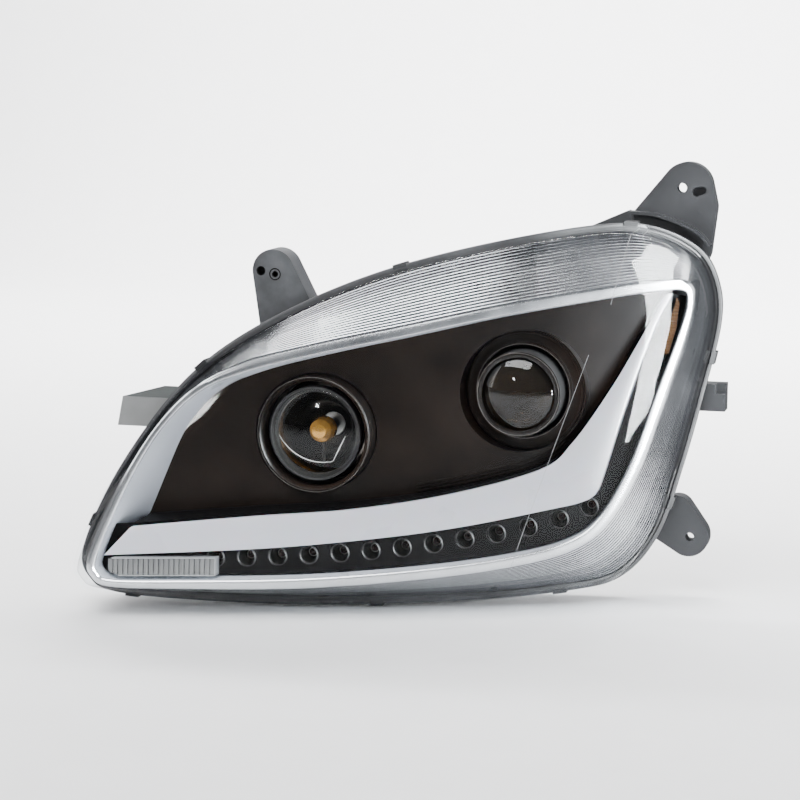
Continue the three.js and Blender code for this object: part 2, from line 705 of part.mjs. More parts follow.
function bulbGlass(axis, tip, seat, r) {
  return revolve([[0, tip], [r * 0.6, tip + 1.2], [r, tip + r * 0.8], [r, seat], [0, seat]], axis, 16);
}

function bulbBase({ x, z }, { pilotFrom, pilotR, seat, flangeR, bodyR, bodyLength, plug: [w, h, length] }) {
  const back = seat + bodyLength;
  const end = back + length;
  const wall = 2;
  const glassR = 6.3;
  const body = revolve([
    [glassR, pilotFrom], [pilotR, pilotFrom], [pilotR, seat], [flangeR, seat], [flangeR, seat + 3],
    [bodyR, seat + 3], [bodyR, back], [0, back], [0, seat - 2], [glassR, seat - 2],
  ], { x, z });
  const plug = box([x - w, back - 1, z - h], [x + w, end, z + h]);
  const key = box([x - 3, seat, z + flangeR - 2], [x + 3, seat + 3, z + flangeR + 3]);
  const socket = box([x - w + wall, back + wall, z - h + wall], [x + w - wall, end + 1, z + h - wall]);
  return join(body, plug, key).subtract(socket);
}

const lowBulbBase = () => bulbBase(LOW, {
  pilotFrom: LOW_BULB_SEAT - 7,
  pilotR: 13,
  seat: LOW_BULB_SEAT + GAP,
  flangeR: 19,
  bodyR: 11,
  bodyLength: 12,
  plug: [8, 6, 13],
});
const highBulbBase = () => bulbBase(HIGH, {
  pilotFrom: HIGH_BULB_SEAT - 7,
  pilotR: 12,
  seat: HIGH_BULB_SEAT + GAP,
  flangeR: 17,
  bodyR: 9.5,
  bodyLength: 5,
  plug: [5, 3.6, 7],
});

// ---------------------------------------------------------------- high beam

function highLens() {
  const rise = 11;
  const rim = -29;
  const dome = (shift) => Array.from({ length: 5 }, (_, i) => {
    const r = (HIGH_LENS_R * i) / 4;
    return [r, rim + shift - rise * (1 - (r / HIGH_LENS_R) ** 2)];
  });
  return revolve([...dome(0), ...dome(3).reverse()], HIGH, 20);
}

const highHolder = () => revolve([
  [41.5, -25.65], [45.35, -25.65], [45.35, -30], [47.5, -30], [47.5, -20.4], [41.5, -20.4],
], HIGH, 20);

const highReflector = () => bowl(HIGH, {
  rim: 43.4, rimY: -20, neck: 15, neckY: 34, flange: 52, seat: [3, 5.65],
});

const highBulbCap = () => revolve([
  [0, -18], [7, -16.5], [11.5, -11.5], [13, -4], [13, 4], [12, 4], [12, -4], [10.5, -10.5],
  [6.5, -15], [0, -16.6],
], HIGH, 20).add(box([HIGH.x - 1.2, -1, HIGH.z - 32], [HIGH.x + 1.2, 3, HIGH.z - 12.4]));

function highBail() {
  const wire = 0.9;
  const y = 44.6;
  const points = [[-19, 8], [-19, -14], [-8, -17], [0, -12.5], [8, -17], [19, -14], [19, 8]];
  const route = new THREE.CatmullRomCurve3(
    points.map(([x, z]) => new THREE.Vector3(HIGH.x + x, y, HIGH.z + z)),
    false,
    'catmullrom',
    0.2,
  );
  const section = new THREE.Shape(Array.from({ length: 6 }, (_, i) => new THREE.Vector2(
    wire * Math.cos((i / 6) * 2 * Math.PI),
    wire * Math.sin((i / 6) * 2 * Math.PI),
  )));
  return solid(new THREE.ExtrudeGeometry(section, { steps: 18, extrudePath: route, bevelEnabled: false }));
}

// ---------------------------------------------------------------- covers and fittings

function dustCap({ at, r, to: mouth }) {
  const outer = r + 4;
  const inner = r + GAP;
  const skirt = mouth - 14;
  return revolve([
    [0, mouth + 9], [outer - 14, mouth + 9], [outer - 14, mouth + 4], [outer - 3, mouth + 4],
    [outer, mouth + 1], [outer, skirt], [inner, skirt], [inner, mouth + GAP],
    [outer - 17, mouth + GAP], [outer - 17, mouth + 6], [0, mouth + 6],
  ], at, 20);
}

function inlet() {
  const { x, z, back } = INLET;
  const seat = back + GAP;
  return join(
    box([x - 20, seat, z - 13], [x + 20, seat + 3, z + 13]),
    box([x - 15 + GAP, back - 14, z - 9 + GAP], [x + 15 - GAP, seat + 1, z + 9 - GAP]),
    box([x - 16, seat + 2, z - 9.5], [x + 16, seat + 22, z + 9.5]),
  ).subtract(box([x - 13.5, seat + 5, z - 7], [x + 13.5, seat + 23, z + 7]));
}

function ledDriver() {
  const { x, z, back } = DRIVER;
  const seat = back + GAP;
  let body = join(
    box([x - 34, seat, z - 18], [x + 34, seat + 4, z + 18]),
    box([x - 24, seat + 3, z - 16], [x + 24, seat + 16, z + 16]),
  );
  for (let i = -3; i <= 3; i += 1) {
    body = body.subtract(box([x + i * 6 - 1.2, seat + 12, z - 17], [x + i * 6 + 1.2, seat + 17, z + 17]));
  }
  for (const side of [-29, 29]) body = body.subtract(disc({ x: x + side, z }, 2.4, seat - 1, seat + 5, 12));
  return body;
}

const driverScrew = (side) => revolve([
  [0, DRIVER.back + 1], [2, DRIVER.back + 1], [2, DRIVER.back + 4.7],
  [4.2, DRIVER.back + 4.7], [4.2, DRIVER.back + 6.6], [0, DRIVER.back + 7.6],
], { x: DRIVER.x + side, z: DRIVER.z }, 12);

const vent = ({ at, to }) => revolve([
  [0, to + 8], [7, to + 8], [8.5, to + 6], [8.5, to + 2], [7, to + GAP],
  [4.5, to + GAP], [4.5, to + 5], [0, to + 5],
], at, 14);

const pivotNut = () => {
  const seat = 80 + GAP;
  const hex = Array.from({ length: 6 }, (_, i) => {
    const angle = (i / 6) * 2 * Math.PI;
    return [PIVOT.x + 6.5 * Math.cos(angle), PIVOT.z + 6.5 * Math.sin(angle)];
  });
  return prism(hex, seat, seat + 5).subtract(disc(PIVOT, ROD_R + 0.3, seat - 1, seat + 6, 16));
};

// ---------------------------------------------------------------- assembly

add('housing', housing(), 'housing');
add('low_cap_collar', collar(LOW_COLLAR), 'housing');
add('high_cap_collar', collar(HIGH_COLLAR), 'housing');
add('upper_inboard_ear', ear(UPPER_INBOARD_EAR), 'housing');
add('upper_outboard_ear', ear(UPPER_OUTBOARD_EAR), 'housing');
add('lower_outboard_ear', ear(LOWER_OUTBOARD_EAR), 'housing');
add('lens_seal', lensSeal(), 'rubber');
add('outer_lens', outerLens(), 'lens');
CLIP_STATIONS.forEach((station, i) => add(`lens_clip_${i + 1}`, clip(station), 'clip'));
add('outer_bezel', outerBezel(), 'silver');
add('inner_bezel', innerBezel(), 'black');
add('drl_carrier', drlCarrier(), 'black');
add('light_guide', lightGuide(), 'guide');
add('drl_led_board', drlBoard(), 'board');
add('turn_cup_strip', turnCups(), 'black');
add('turn_led_board', turnBoard(), 'board');
add('side_reflector', slab(SIDE_REFLECTOR, flangeY, -40, CARRIER - GAP), 'amber');
add('front_reflex_reflector', slab(REFLEX, flangeY, -44, CARRIER - GAP), 'clear');
add('low_shroud_ring', lowRing(), 'black');
add('high_shroud_ring', highRing(), 'black');

add('pivot_ball_stud', ballRod(PIVOT, 88, 67.5 - GAP), 'steel');
add('pivot_nut', pivotNut(), 'steel');
add('pivot_socket', ballSocket(PIVOT, SOCKET_R - 0.4, 59), 'nylon');
add('aim_frame', aimFrame(), 'frame');
add('vertical_socket', ballSocket(VERTICAL, SOCKET_R, PLATE_Y[0] - GAP), 'nylon');
add('horizontal_socket', ballSocket(HORIZONTAL, SOCKET_R, PLATE_Y[0] - GAP), 'nylon');
add('vertical_screw', ballRod(VERTICAL, 122), 'steel');
add('vertical_knob', knob(VERTICAL, 97 + GAP), 'nylon');
add('horizontal_screw', ballRod(HORIZONTAL, 155), 'steel');
add('horizontal_knob', knob(HORIZONTAL, 130 + GAP), 'nylon');

add('low_projector_lens', lowLens(), 'glass');
add('low_lens_retainer', lowRetainer(), 'chrome');
add('low_lens_holder', lowHolder(), 'frame');
add('low_cutoff_shield', lowShield(), 'steel');
add('low_reflector', lowReflector(), 'chrome');
add('low_bulb', bulbGlass(LOW, 86, LOW_BULB_SEAT - 2 - GAP, 6), 'glass');
add('low_bulb_base', lowBulbBase(), 'nylon');

add('high_lens', highLens(), 'glass');
add('high_lens_holder', highHolder(), 'frame');
add('high_reflector', highReflector(), 'chrome');
add('high_bulb', bulbGlass(HIGH, 0, HIGH_BULB_SEAT - 2 - GAP, 5.5), 'glass');
add('high_bulb_cap', highBulbCap(), 'chrome');
add('high_bulb_base', highBulbBase(), 'steel');
add('high_bulb_bail', highBail(), 'steel');

add('low_dust_cap', dustCap(LOW_COLLAR), 'rubber');
add('high_dust_cap', dustCap(HIGH_COLLAR), 'rubber');
add('connector_inlet', inlet(), 'rubber');
add('led_driver', ledDriver(), 'steel');
add('led_driver_screw_1', driverScrew(-29), 'steel');
add('led_driver_screw_2', driverScrew(29), 'steel');
add('breather_vent_1', vent(BOSSES[3]), 'rubber');
add('breather_vent_2', vent(BOSSES[4]), 'rubber');

const backOfEar = UPPER_OUTBOARD_EAR.front + UPPER_OUTBOARD_EAR.depth;
lamp.position.set(-SEAT[0], -backOfEar, -SEAT[1]);

export default lamp;
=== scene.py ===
"""Looks of the headlight assembly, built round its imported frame.

Outlines and depths are millimetres about the middle of the lens: +X outboard, -Y forward,
+Z up. new_object() turns them into metres in the frame.
"""

import json
import math

import bmesh
import bpy
import numpy as np
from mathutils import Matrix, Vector

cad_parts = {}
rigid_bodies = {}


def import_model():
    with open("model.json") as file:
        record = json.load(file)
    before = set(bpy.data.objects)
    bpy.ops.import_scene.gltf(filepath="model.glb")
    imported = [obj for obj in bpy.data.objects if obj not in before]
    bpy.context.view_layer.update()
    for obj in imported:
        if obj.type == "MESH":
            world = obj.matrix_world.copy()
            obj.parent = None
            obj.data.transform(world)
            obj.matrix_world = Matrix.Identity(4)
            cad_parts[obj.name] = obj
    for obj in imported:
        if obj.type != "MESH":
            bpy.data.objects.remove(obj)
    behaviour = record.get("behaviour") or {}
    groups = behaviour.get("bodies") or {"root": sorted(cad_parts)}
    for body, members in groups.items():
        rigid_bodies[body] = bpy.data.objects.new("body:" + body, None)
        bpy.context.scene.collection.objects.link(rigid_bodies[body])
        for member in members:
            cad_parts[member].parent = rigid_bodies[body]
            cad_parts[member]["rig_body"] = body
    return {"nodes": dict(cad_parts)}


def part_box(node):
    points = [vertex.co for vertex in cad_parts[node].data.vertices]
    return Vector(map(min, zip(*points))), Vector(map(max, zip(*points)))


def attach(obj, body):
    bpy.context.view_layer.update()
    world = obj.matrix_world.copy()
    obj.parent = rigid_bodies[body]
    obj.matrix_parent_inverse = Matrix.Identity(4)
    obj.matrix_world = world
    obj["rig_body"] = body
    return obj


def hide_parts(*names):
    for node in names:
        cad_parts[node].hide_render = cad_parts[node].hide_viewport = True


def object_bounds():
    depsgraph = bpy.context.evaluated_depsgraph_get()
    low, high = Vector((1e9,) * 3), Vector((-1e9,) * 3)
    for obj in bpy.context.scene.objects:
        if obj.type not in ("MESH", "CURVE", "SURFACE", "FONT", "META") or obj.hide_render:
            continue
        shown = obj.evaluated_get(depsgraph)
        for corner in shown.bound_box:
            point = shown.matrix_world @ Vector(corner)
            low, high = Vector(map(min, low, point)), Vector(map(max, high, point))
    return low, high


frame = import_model()
cad_low, cad_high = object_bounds()

# ---------------------------- driving dimensions

MM = 0.001
ORIGIN = np.array((-0.2645, -0.164, -0.205))  # the middle of the lens in the frame, metres
TINY = 1e-4  # a radius below this is on the axis
WELD = 2e-6  # metres between points that count as one
GAP = 0.35
WALL = 3.0
PLATE = 2.5  # thickness of the panel and the carrier
THROUGH = 200  # reach of a tool that cuts right through

# Flange outline (x, z) and the matching point (x, z) of the bezel's inner lip, clockwise
# from the pointed inboard nose.
STATIONS = [
    (-304, -157, -273, -151), (-294, -120, -261, -116), (-269, -67, -241, -70),
    (-231, -8, -214, -23), (-193, 35, -179, 14), (-146, 70, -135, 34),
    (-80, 105, -65, 52), (-4, 134, 10, 68), (91, 158, 103, 88),
    (184, 173, 194, 103), (235, 170, 239, 109), (278, 147, 268, 110),
    (297, 112, 274, 100), (300, 69, 269, 73), (286, -1, 249, 10),
    (269, -74, 226, -62), (248, -142, 200, -113), (213, -183, 170, -136),
    (157, -195, 119, -149), (53, -202, 35, -160), (-91, -205, -78, -169),
    (-218, -199, -201, -171), (-277, -191, -258, -170), (-296, -178, -271, -163),
]
STEPS = 10  # points from one station to the next
SPINE = ((-235, -150), (190, 10))  # ridge that the crowned faces close on

# Depths of the bezel's lip, the light guide and the carrier off the flange's surface.
LIP = -46.0
GUIDE = -42.0
CARRIER = -34.0
RIM_BACK = 10.0
DRAFT = 0.12
RIBS = 18
RIB_HEIGHT = 1.0
DARK_RIBS = 4  # the outermost ribs carry the darkest painted shade, those up to MID_RIBS a lighter one
MID_RIBS = 8
LENS_FOOT = range(21, 26)  # rows of faces round the lens's foot, which is printed dark

# Thin pale grey lines laid on the lens, each from a start to an end (x, z).
PALE_LINES = [((222, 172), (208, 100)), ((228, 172), (252, 118)), ((190, 52), (122, -160))]

GUIDE_TOP = [
    (-242, -119), (-128, -109), (-34, -102), (60, -87), (143, -64),
    (172, -38), (205, 13), (232, 64), (253, 106),
]
GUIDE_BOTTOM = [
    (-267, -147), (-128, -141), (-33, -133), (61, -121), (153, -104),
    (181, -98), (195, -90), (203, -68), (219, -9), (244, 71), (260, 106),
]
CUP_PATH = [(-163, -151), (-78, -148), (12, -141), (102, -128), (161, -115), (188, -104)]
CUP_COUNT = 13
CUP_R = 9.5
CUP_DEPTH = 12
LED_R = 1.7
GRIPS = 40  # round each dust cap
GRIP_SPAN = (1, 10)  # from the cap's front edge


def axis_of(node):
    """(x, z) of a round node's axis, in design millimetres."""
    low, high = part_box(node)
    middle = (np.array(low) + np.array(high)) / 2
    return tuple((middle - ORIGIN)[[0, 2]] / MM)


def radius_of(node):
    low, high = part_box(node)
    return (high.x - low.x) / 2 / MM


def front_of(node):
    return (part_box(node)[0].y - ORIGIN[1]) / MM


LOW = axis_of("low_projector_lens")
HIGH = axis_of("high_lens")


# ---------------------------- surfaces and rings

def flange_y(x, z):
    return 0.28 * x + 0.1 * z + 0.00055 * np.maximum(0, x) ** 2


def floor_y(x, z):
    return 75 + 0.28 * x + 0.1 * z


def panel_y(x, z):
    return -8 + 0.19 * x + 0.06 * z + 0.0006 * np.maximum(0, x) ** 2


def catmull(p0, p1, p2, p3, t):
    return 0.5 * (
        2 * p1 + (p2 - p0) * t + (2 * p0 - 5 * p1 + 4 * p2 - p3) * t ** 2
        + (3 * p1 - p0 - 3 * p2 + p3) * t ** 3
    )


def closed_ring(points):
    points = np.array(points, float)
    count = len(points)
    near = [[points[(i + k) % count] for k in (-1, 0, 1, 2)] for i in range(count)]
    return np.array([catmull(*four, k / STEPS) for four in near for k in range(STEPS)])


def open_path(points, divisions):
    """Evenly spaced points on a smooth curve through the given ones."""
    points = np.array(points, float)
    padded = [2 * points[0] - points[1], *points, 2 * points[-1] - points[-2]]
    fine = [catmull(*padded[i:i + 4], k / 40) for i in range(len(points) - 1) for k in range(40)]
    fine = np.array([*fine, points[-1]])
    length = np.concatenate([[0], np.cumsum(np.linalg.norm(np.diff(fine, axis=0), axis=1))])
    wanted = np.linspace(0, length[-1], divisions + 1)
    return np.stack([np.interp(wanted, length, fine[:, k]) for k in (0, 1)], axis=1)


def shifted(path, distance, closed=False):
    """The path moved to the right of its own direction of travel."""
    if closed:
        along = np.roll(path, -1, axis=0) - np.roll(path, 1, axis=0)
    else:
        along = np.gradient(path, axis=0)
    along /= np.linalg.norm(along, axis=1)[:, None]
    sideways = np.stack([along[:, 1], -along[:, 0]], axis=1)
    return path + sideways * np.broadcast_to(distance, len(path))[:, None]


def inset(ring, distance):
    return shifted(ring, distance, closed=True)


def angles(count):
    return np.arange(count) / count * 2 * math.pi


def mix(a, b, share):
    return a + (b - a) * share


def along_spine(ring):
    """How far along the spine each point lies, from 0 at the nose to 1 outboard."""
    start, end = np.array(SPINE, float)
    return (ring - start) @ (end - start) / ((end - start) @ (end - start))


def towards_spine(ring, share):
    start, end = np.array(SPINE, float)
    along = np.clip(along_spine(ring), 0, 1)
    return mix(ring, start + along[:, None] * (end - start), share)


def eased(value):
    share = np.clip(value, 0, 1)
    return share * share * (3 - 2 * share)


def onto(ring, surface, offset):
    x, z = ring[:, 0], ring[:, 1]
    return np.stack([x, surface(x, z) + offset, z], axis=1)


def flat(ring, y):
    return np.stack([ring[:, 0], np.full(len(ring), float(y)), ring[:, 1]], axis=1)


FLANGE = closed_ring([(x, z) for x, z, _, _ in STATIONS])
LIP_RING = closed_ring([(x, z) for _, _, x, z in STATIONS])
lip_depth = panel_y(*LIP_RING.T) - flange_y(*LIP_RING.T) - LIP
flank = 7 * eased((-205 - LIP_RING[:, 0]) / 50) * eased((LIP_RING[:, 1] + 125) / 15)
PANEL_RING = inset(LIP_RING, DRAFT * lip_depth + flank)
LIP_OUTER = inset(LIP_RING, -np.minimum(11, 0.28 * np.linalg.norm(LIP_RING - FLANGE, axis=1)))


# ---------------------------- shapes: (points, faces)

def bridge(rows, count, closed):
    faces = []
    for row in range(rows if closed else rows - 1):
        after = (row + 1) % rows
        for i in range(count):
            j = (i + 1) % count
            faces.append((row * count + i, row * count + j, after * count + j, after * count + i))
    return faces


def zipped(loop, start):
    """Faces that zip a narrow ring shut along the spine, from the nose outboard."""
    reach = along_spine(loop[:, [0, 2]])
    count = len(loop)
    up, down = 1, count
    faces = []
    while down - up > 2:
        climb = reach[up + 1] <= reach[down - 1]
        onward = up + 1 if climb else down - 1
        faces.append((start + up, start + onward, start + down % count))
        up, down = (onward, down) if climb else (up, onward)
    faces.append((start + up, start + up + 1, start + down % count))
    return faces


def loft(loops, first="flat", last="flat"):
    """Skin over a stack of loops. Each end is a flat face or zipped along the spine."""
    count = len(loops[0])
    faces = bridge(len(loops), count, False)
    for kind, loop, start in ((first, loops[0], 0), (last, loops[-1], (len(loops) - 1) * count)):
        faces += zipped(loop, start) if kind == "zipped" else [tuple(range(start, start + count))]
    return np.concatenate(loops), faces


def hoop(loops):
    return np.concatenate(loops), bridge(len(loops), len(loops[0]), True)


def band(left, right, surface, front, back, floor=None):
    """A plate between two open paths. front and back are depths off the surface."""
    front = np.broadcast_to(front, len(left))
    floor = floor or surface
    rows = []
    for a, b, depth in zip(left, right, front):
        pair = np.array([a, b])
        rows.append(np.concatenate([onto(pair, surface, depth), onto(pair[::-1], floor, back)]))
    return loft(rows)


def strip(path, half, front, back):
    return band(shifted(path, -half), shifted(path, half), flange_y, front, back)


def lathe(profile, axis, segments=96):
    """Turns (r, y) points round an axis along Y. A profile off the axis closes on itself."""
    points, rings = [], []
    around = angles(segments)
    for r, y in profile:
        if r < TINY:
            rings.append([len(points)] * segments)
            points.append((axis[0], y, axis[1]))
        else:
            rings.append(list(range(len(points), len(points) + segments)))
            points += [(axis[0] + r * math.sin(a), y, axis[1] + r * math.cos(a)) for a in around]
    if profile[0][0] >= TINY:
        rings.append(rings[0])
    faces = []
    for here, there in zip(rings, rings[1:]):
        for i in range(segments):
            j = (i + 1) % segments
            face = list(dict.fromkeys((here[i], here[j], there[j], there[i])))
            if len(face) > 2:
                faces.append(tuple(face))
    return np.array(points), faces


def disc(axis, r, start, end, segments=64):
    return lathe([(0, start), (r, start), (r, end), (0, end)], axis, segments)


def prism(ring, start, end):
    return loft([flat(ring, start), flat(ring, end)])


def block(low, high):
    (x0, y0, z0), (x1, y1, z1) = low, high
    ring = np.array([(x0, z0), (x1, z0), (x1, z1), (x0, z1)], float)
    return prism(ring, y0, y1)


def round_hull(circles, shrink=0.0, directions=96):
    """Convex outline round circles (x, z, r), the shape of a moulded ear."""
    ring = []
    for a in angles(directions):
        way = np.array([math.cos(a), math.sin(a)])
        x, z, r = max(circles, key=lambda c: c[0] * way[0] + c[1] * way[1] + c[2])
        ring.append(np.array([x, z]) + (r - shrink) * way)
    return np.array(ring)


def together(shapes):
    """Several shapes in one, each still closed."""
    points, faces, start = [], [], 0
    for shape_points, shape_faces in shapes:
        points.append(shape_points)
        faces += [tuple(i + start for i in face) for face in shape_faces]
        start += len(shape_points)
    return np.concatenate(points), faces


# ---------------------------- round nodes of the frame

def half_section(node):
    """A round CAD node's section, as (r, y) points in order, in design millimetres."""
    bm = bmesh.new()
    bm.from_mesh(frame["nodes"][node].data)
    bmesh.ops.remove_doubles(bm, verts=bm.verts, dist=WELD)
    x, z = axis_of(node)

    def local(vertex):
        point = (np.array(vertex.co) - ORIGIN) / MM
        return point[0] - x, point[1], point[2] - z

    cut = {v for v in bm.verts if abs(local(v)[0]) < 0.02 and local(v)[2] > -0.02}
    links = {v: [e.other_vert(v) for e in v.link_edges if e.other_vert(v) in cut] for v in cut}
    ends = [v for v in cut if len(links[v]) == 1]
    start = min(ends, key=lambda v: local(v)[1]) if ends else min(cut, key=lambda v: local(v)[1])
    chain = [start]
    while True:
        onward = [v for v in links[chain[-1]] if v not in chain]
        if not onward:
            break
        chain.append(onward[0])
    section = [(max(0.0, local(v)[2]), local(v)[1]) for v in chain]
    bm.free()
    return section


def softened(section, turn):
    """The section with its gently turning stretches drawn as smooth curves."""
    between = 5
    points = [np.array(p) for p in section]
    closed = section[0][0] > TINY
    count = len(points)

    def bends(i):
        if not closed and i in (0, count - 1):
            return True
        a = points[i] - points[i - 1]
        b = points[(i + 1) % count] - points[i]
        cosine = a @ b / (np.linalg.norm(a) * np.linalg.norm(b))
        return math.degrees(math.acos(np.clip(cosine, -1, 1))) > turn

    corner = [bends(i) for i in range(count)]
    result = []
    for i in range(count if closed else count - 1):
        j = (i + 1) % count
        result.append(tuple(points[i]))
        if corner[i] and corner[j]:
            continue
        before = 2 * points[i] - points[j] if corner[i] else points[i - 1]
        after = 2 * points[j] - points[i] if corner[j] else points[(j + 1) % count]
        for k in range(1, between):
            r, y = catmull(before, points[i], points[j], after, k / between)
            result.append((max(0.0, r), y))
    if not closed:
        result.append(tuple(points[-1]))
    return result


# ---------------------------- objects

def linked(name, data):
    """A new object, put in the scene."""
    obj = bpy.data.objects.new(name, data)
    bpy.context.scene.collection.objects.link(obj)
    return obj


def new_object(name, shape):
    points, faces = shape
    mesh = bpy.data.meshes.new(name)
    mesh.from_pydata((ORIGIN + points * MM).tolist(), [], faces)
    bm = bmesh.new()
    bm.from_mesh(mesh)
    bmesh.ops.recalc_face_normals(bm, faces=bm.faces)
    bm.to_mesh(mesh)
    bm.free()
    return linked(name, mesh)


def bake_modifiers(obj):
    """Replaces the object's mesh by what its modifiers make of it."""
    graph = bpy.context.evaluated_depsgraph_get()
    graph.update()
    made = bpy.data.meshes.new_from_object(obj.evaluated_get(graph))
    obj.modifiers.clear()
    obj.data = made


def combine(obj, operation, tools):
    """Joins or cuts with shapes, or with objects, which are used up."""
    for tool in tools:
        if not isinstance(tool, bpy.types.Object):
            tool = new_object("tool", tool)
        modifier = obj.modifiers.new("combine", "BOOLEAN")
        modifier.operation = operation
        modifier.solver = "MANIFOLD"
        modifier.object = tool
        bake_modifiers(obj)
        bpy.data.objects.remove(tool)


def keep_biggest(obj):
    """Drops the small loose scraps that a cut leaves behind."""
    bm = bmesh.new()
    bm.from_mesh(obj.data)
    groups, seen = [], set()
    for first in bm.verts:
        if first in seen:
            continue
        group, todo = {first}, [first]
        while todo:
            here = todo.pop()
            near = {e.other_vert(here) for e in here.link_edges} - group
            group |= near
            todo += near
        seen |= group
        groups.append(group)
    keep = max(groups, key=len)
    bmesh.ops.delete(bm, geom=[v for v in bm.verts if v not in keep], context="VERTS")
    bm.to_mesh(obj.data)
    bm.free()


def round_edges(obj, width, angle):
    """Gives the object a modifier that rounds edges sharper than the angle."""
    bevel = obj.modifiers.new("edges", "BEVEL")
    bevel.width = width * MM
    bevel.segments = 2
    bevel.limit_method = "ANGLE"
    bevel.angle_limit = math.radians(angle)


def piece(name, shape, material, stands_for=(), body="lamp_body", cut=(), add=(),
          scraps=True, edge=0.0, smooth=32):
    """A finished piece: cut, joined, edges rounded, shaded, and riding on its body."""
    obj = new_object(name, shape)
    combine(obj, "UNION", add)
    combine(obj, "DIFFERENCE", cut)
    if not scraps:
        keep_biggest(obj)
    if edge:
        round_edges(obj, edge, 35)
        bake_modifiers(obj)
    obj.data.shade_smooth()
    obj.data.set_sharp_from_angle(angle=math.radians(smooth))
    if cut or add:
        even = obj.modifiers.new("even", "WEIGHTED_NORMAL")
        even.keep_sharp = True
        bake_modifiers(obj)
    coat(obj, material)
    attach(obj, body)
    if stands_for:
        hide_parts(*stands_for)
    return obj


def coat(obj, *materials):
    obj.data.materials.clear()
    for material in materials:
        obj.data.materials.append(material)


def body_of(node):
    return frame["nodes"][node]["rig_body"]


def turned(node, material, edge=0.25, segments=96, turn=28):
    """A fine copy of a round CAD node."""
    shape = lathe(softened(half_section(node), turn), axis_of(node), segments)
    piece(node + "_fine", shape, material, [node], body=body_of(node), edge=edge)


def finished(node, material, edge=0.4):
    """A CAD node that keeps its own mesh, with rounded edges and a better material."""
    obj = frame["nodes"][node]
    weld = obj.modifiers.new("weld", "WELD")
    weld.merge_threshold = WELD
    round_edges(obj, edge, 40)
    coat(obj, material)


# ---------------------------- materials

def shader_node(tree, kind, **sockets):
    """A new node. Each socket's name has _ where Blender's has a space."""
    node = tree.nodes.new("ShaderNode" + kind)
    for socket, value in sockets.items():
        node.inputs[socket.replace("_", " ")].default_value = value
    return node


def new_material(name):
    material = bpy.data.materials.new(name)
    material.use_nodes = True
    tree = material.node_tree
    tree.nodes.clear()
    output = shader_node(tree, "OutputMaterial")
    coordinates = shader_node(tree, "TexCoord")
    return material, tree, output, coordinates.outputs["Object"]


def noise(tree, coordinates, scale, detail, stretch=None):
    node = shader_node(tree, "TexNoise", Scale=scale, Detail=detail)
    if stretch:
        mapping = shader_node(tree, "Mapping", Scale=stretch)
        tree.links.new(coordinates, mapping.inputs["Vector"])
        coordinates = mapping.outputs["Vector"]
    tree.links.new(coordinates, node.inputs["Vector"])
    return node.outputs["Fac"]


def spread(tree, value, low, high):
    """Stretches a noise value, which seldom leaves 0.3 to 0.7, over low to high."""
    node = shader_node(tree, "MapRange", From_Min=0.3, From_Max=0.7, To_Min=low, To_Max=high)
    tree.links.new(value, node.inputs["Value"])
    return node.outputs["Result"]


def tint(tree, value, dark, light):
    node = shader_node(tree, "Mix")
    node.data_type = "RGBA"
    node.inputs["A"].default_value = (*dark, 1)
    node.inputs["B"].default_value = (*light, 1)
    tree.links.new(value, node.inputs["Factor"])
    return node.outputs["Result"]


def relief(tree, height, strength, depth):
    node = shader_node(tree, "Bump", Strength=strength, Distance=depth)
    tree.links.new(height, node.inputs["Height"])
    return node.outputs["Normal"]


def solid(name, colour, roughness, metallic=0.0, vary=0.2, grain=0.0, grain_scale=1400,
          patch_scale=22, stretch=None, **sockets):
    """A solid surface with patchy colour and gloss, and a fine moulded or brushed grain."""
    material, tree, output, coordinates = new_material(name)
    link = tree.links.new
    shader = shader_node(tree, "BsdfPrincipled", Metallic=metallic, **sockets)
    link(shader.outputs["BSDF"], output.inputs["Surface"])
    patches = noise(tree, coordinates, patch_scale, 5)
    dark = [c * (1 - vary) for c in colour]
    light = [min(1, c * (1 + vary)) for c in colour]
    link(tint(tree, spread(tree, patches, 0, 1), dark, light), shader.inputs["Base Color"])
    gloss = spread(tree, patches, roughness * 0.85, min(1, roughness * 1.15))
    link(gloss, shader.inputs["Roughness"])
    if grain:
        fine = noise(tree, coordinates, grain_scale, 2, stretch)
        link(relief(tree, fine, grain, 0.0003), shader.inputs["Normal"])
    return material


def clear(name, colour, ior, roughness):
    """A thin clear wall: see-through, and outside a mirror that grows at grazing angles."""
    material, tree, output, coordinates = new_material(name)
    link = tree.links.new
    through = shader_node(tree, "BsdfTransparent", Color=(*colour, 1))
    mirror = shader_node(tree, "BsdfAnisotropic", Roughness=roughness)
    fresnel = shader_node(tree, "Fresnel", IOR=ior)
    side = shader_node(tree, "NewGeometry")
    facing = shader_node(tree, "Math")
    facing.operation = "SUBTRACT"
    facing.inputs[0].default_value = 1
    link(side.outputs["Backfacing"], facing.inputs[1])
    outside = shader_node(tree, "Math")
    outside.operation = "MULTIPLY"
    link(fresnel.outputs["Fac"], outside.inputs[0])
    link(facing.outputs["Value"], outside.inputs[1])
    wave = noise(tree, coordinates, 9, 2)
    link(relief(tree, wave, 0.05, 0.002), mirror.inputs["Normal"])
    both = shader_node(tree, "MixShader")
    link(outside.outputs["Value"], both.inputs["Fac"])
    link(through.outputs["BSDF"], both.inputs[1])
    link(mirror.outputs["BSDF"], both.inputs[2])
    link(both.outputs["Shader"], output.inputs["Surface"])
    return material


def glass(name, colour):
    """Solid glass that bends what is behind it."""
    return solid(name, colour, 0.015, vary=0.0, Transmission_Weight=1.0, IOR=1.5)


def silver(name, colour):
    return solid(name, colour, 0.22, metallic=1.0, vary=0.05)


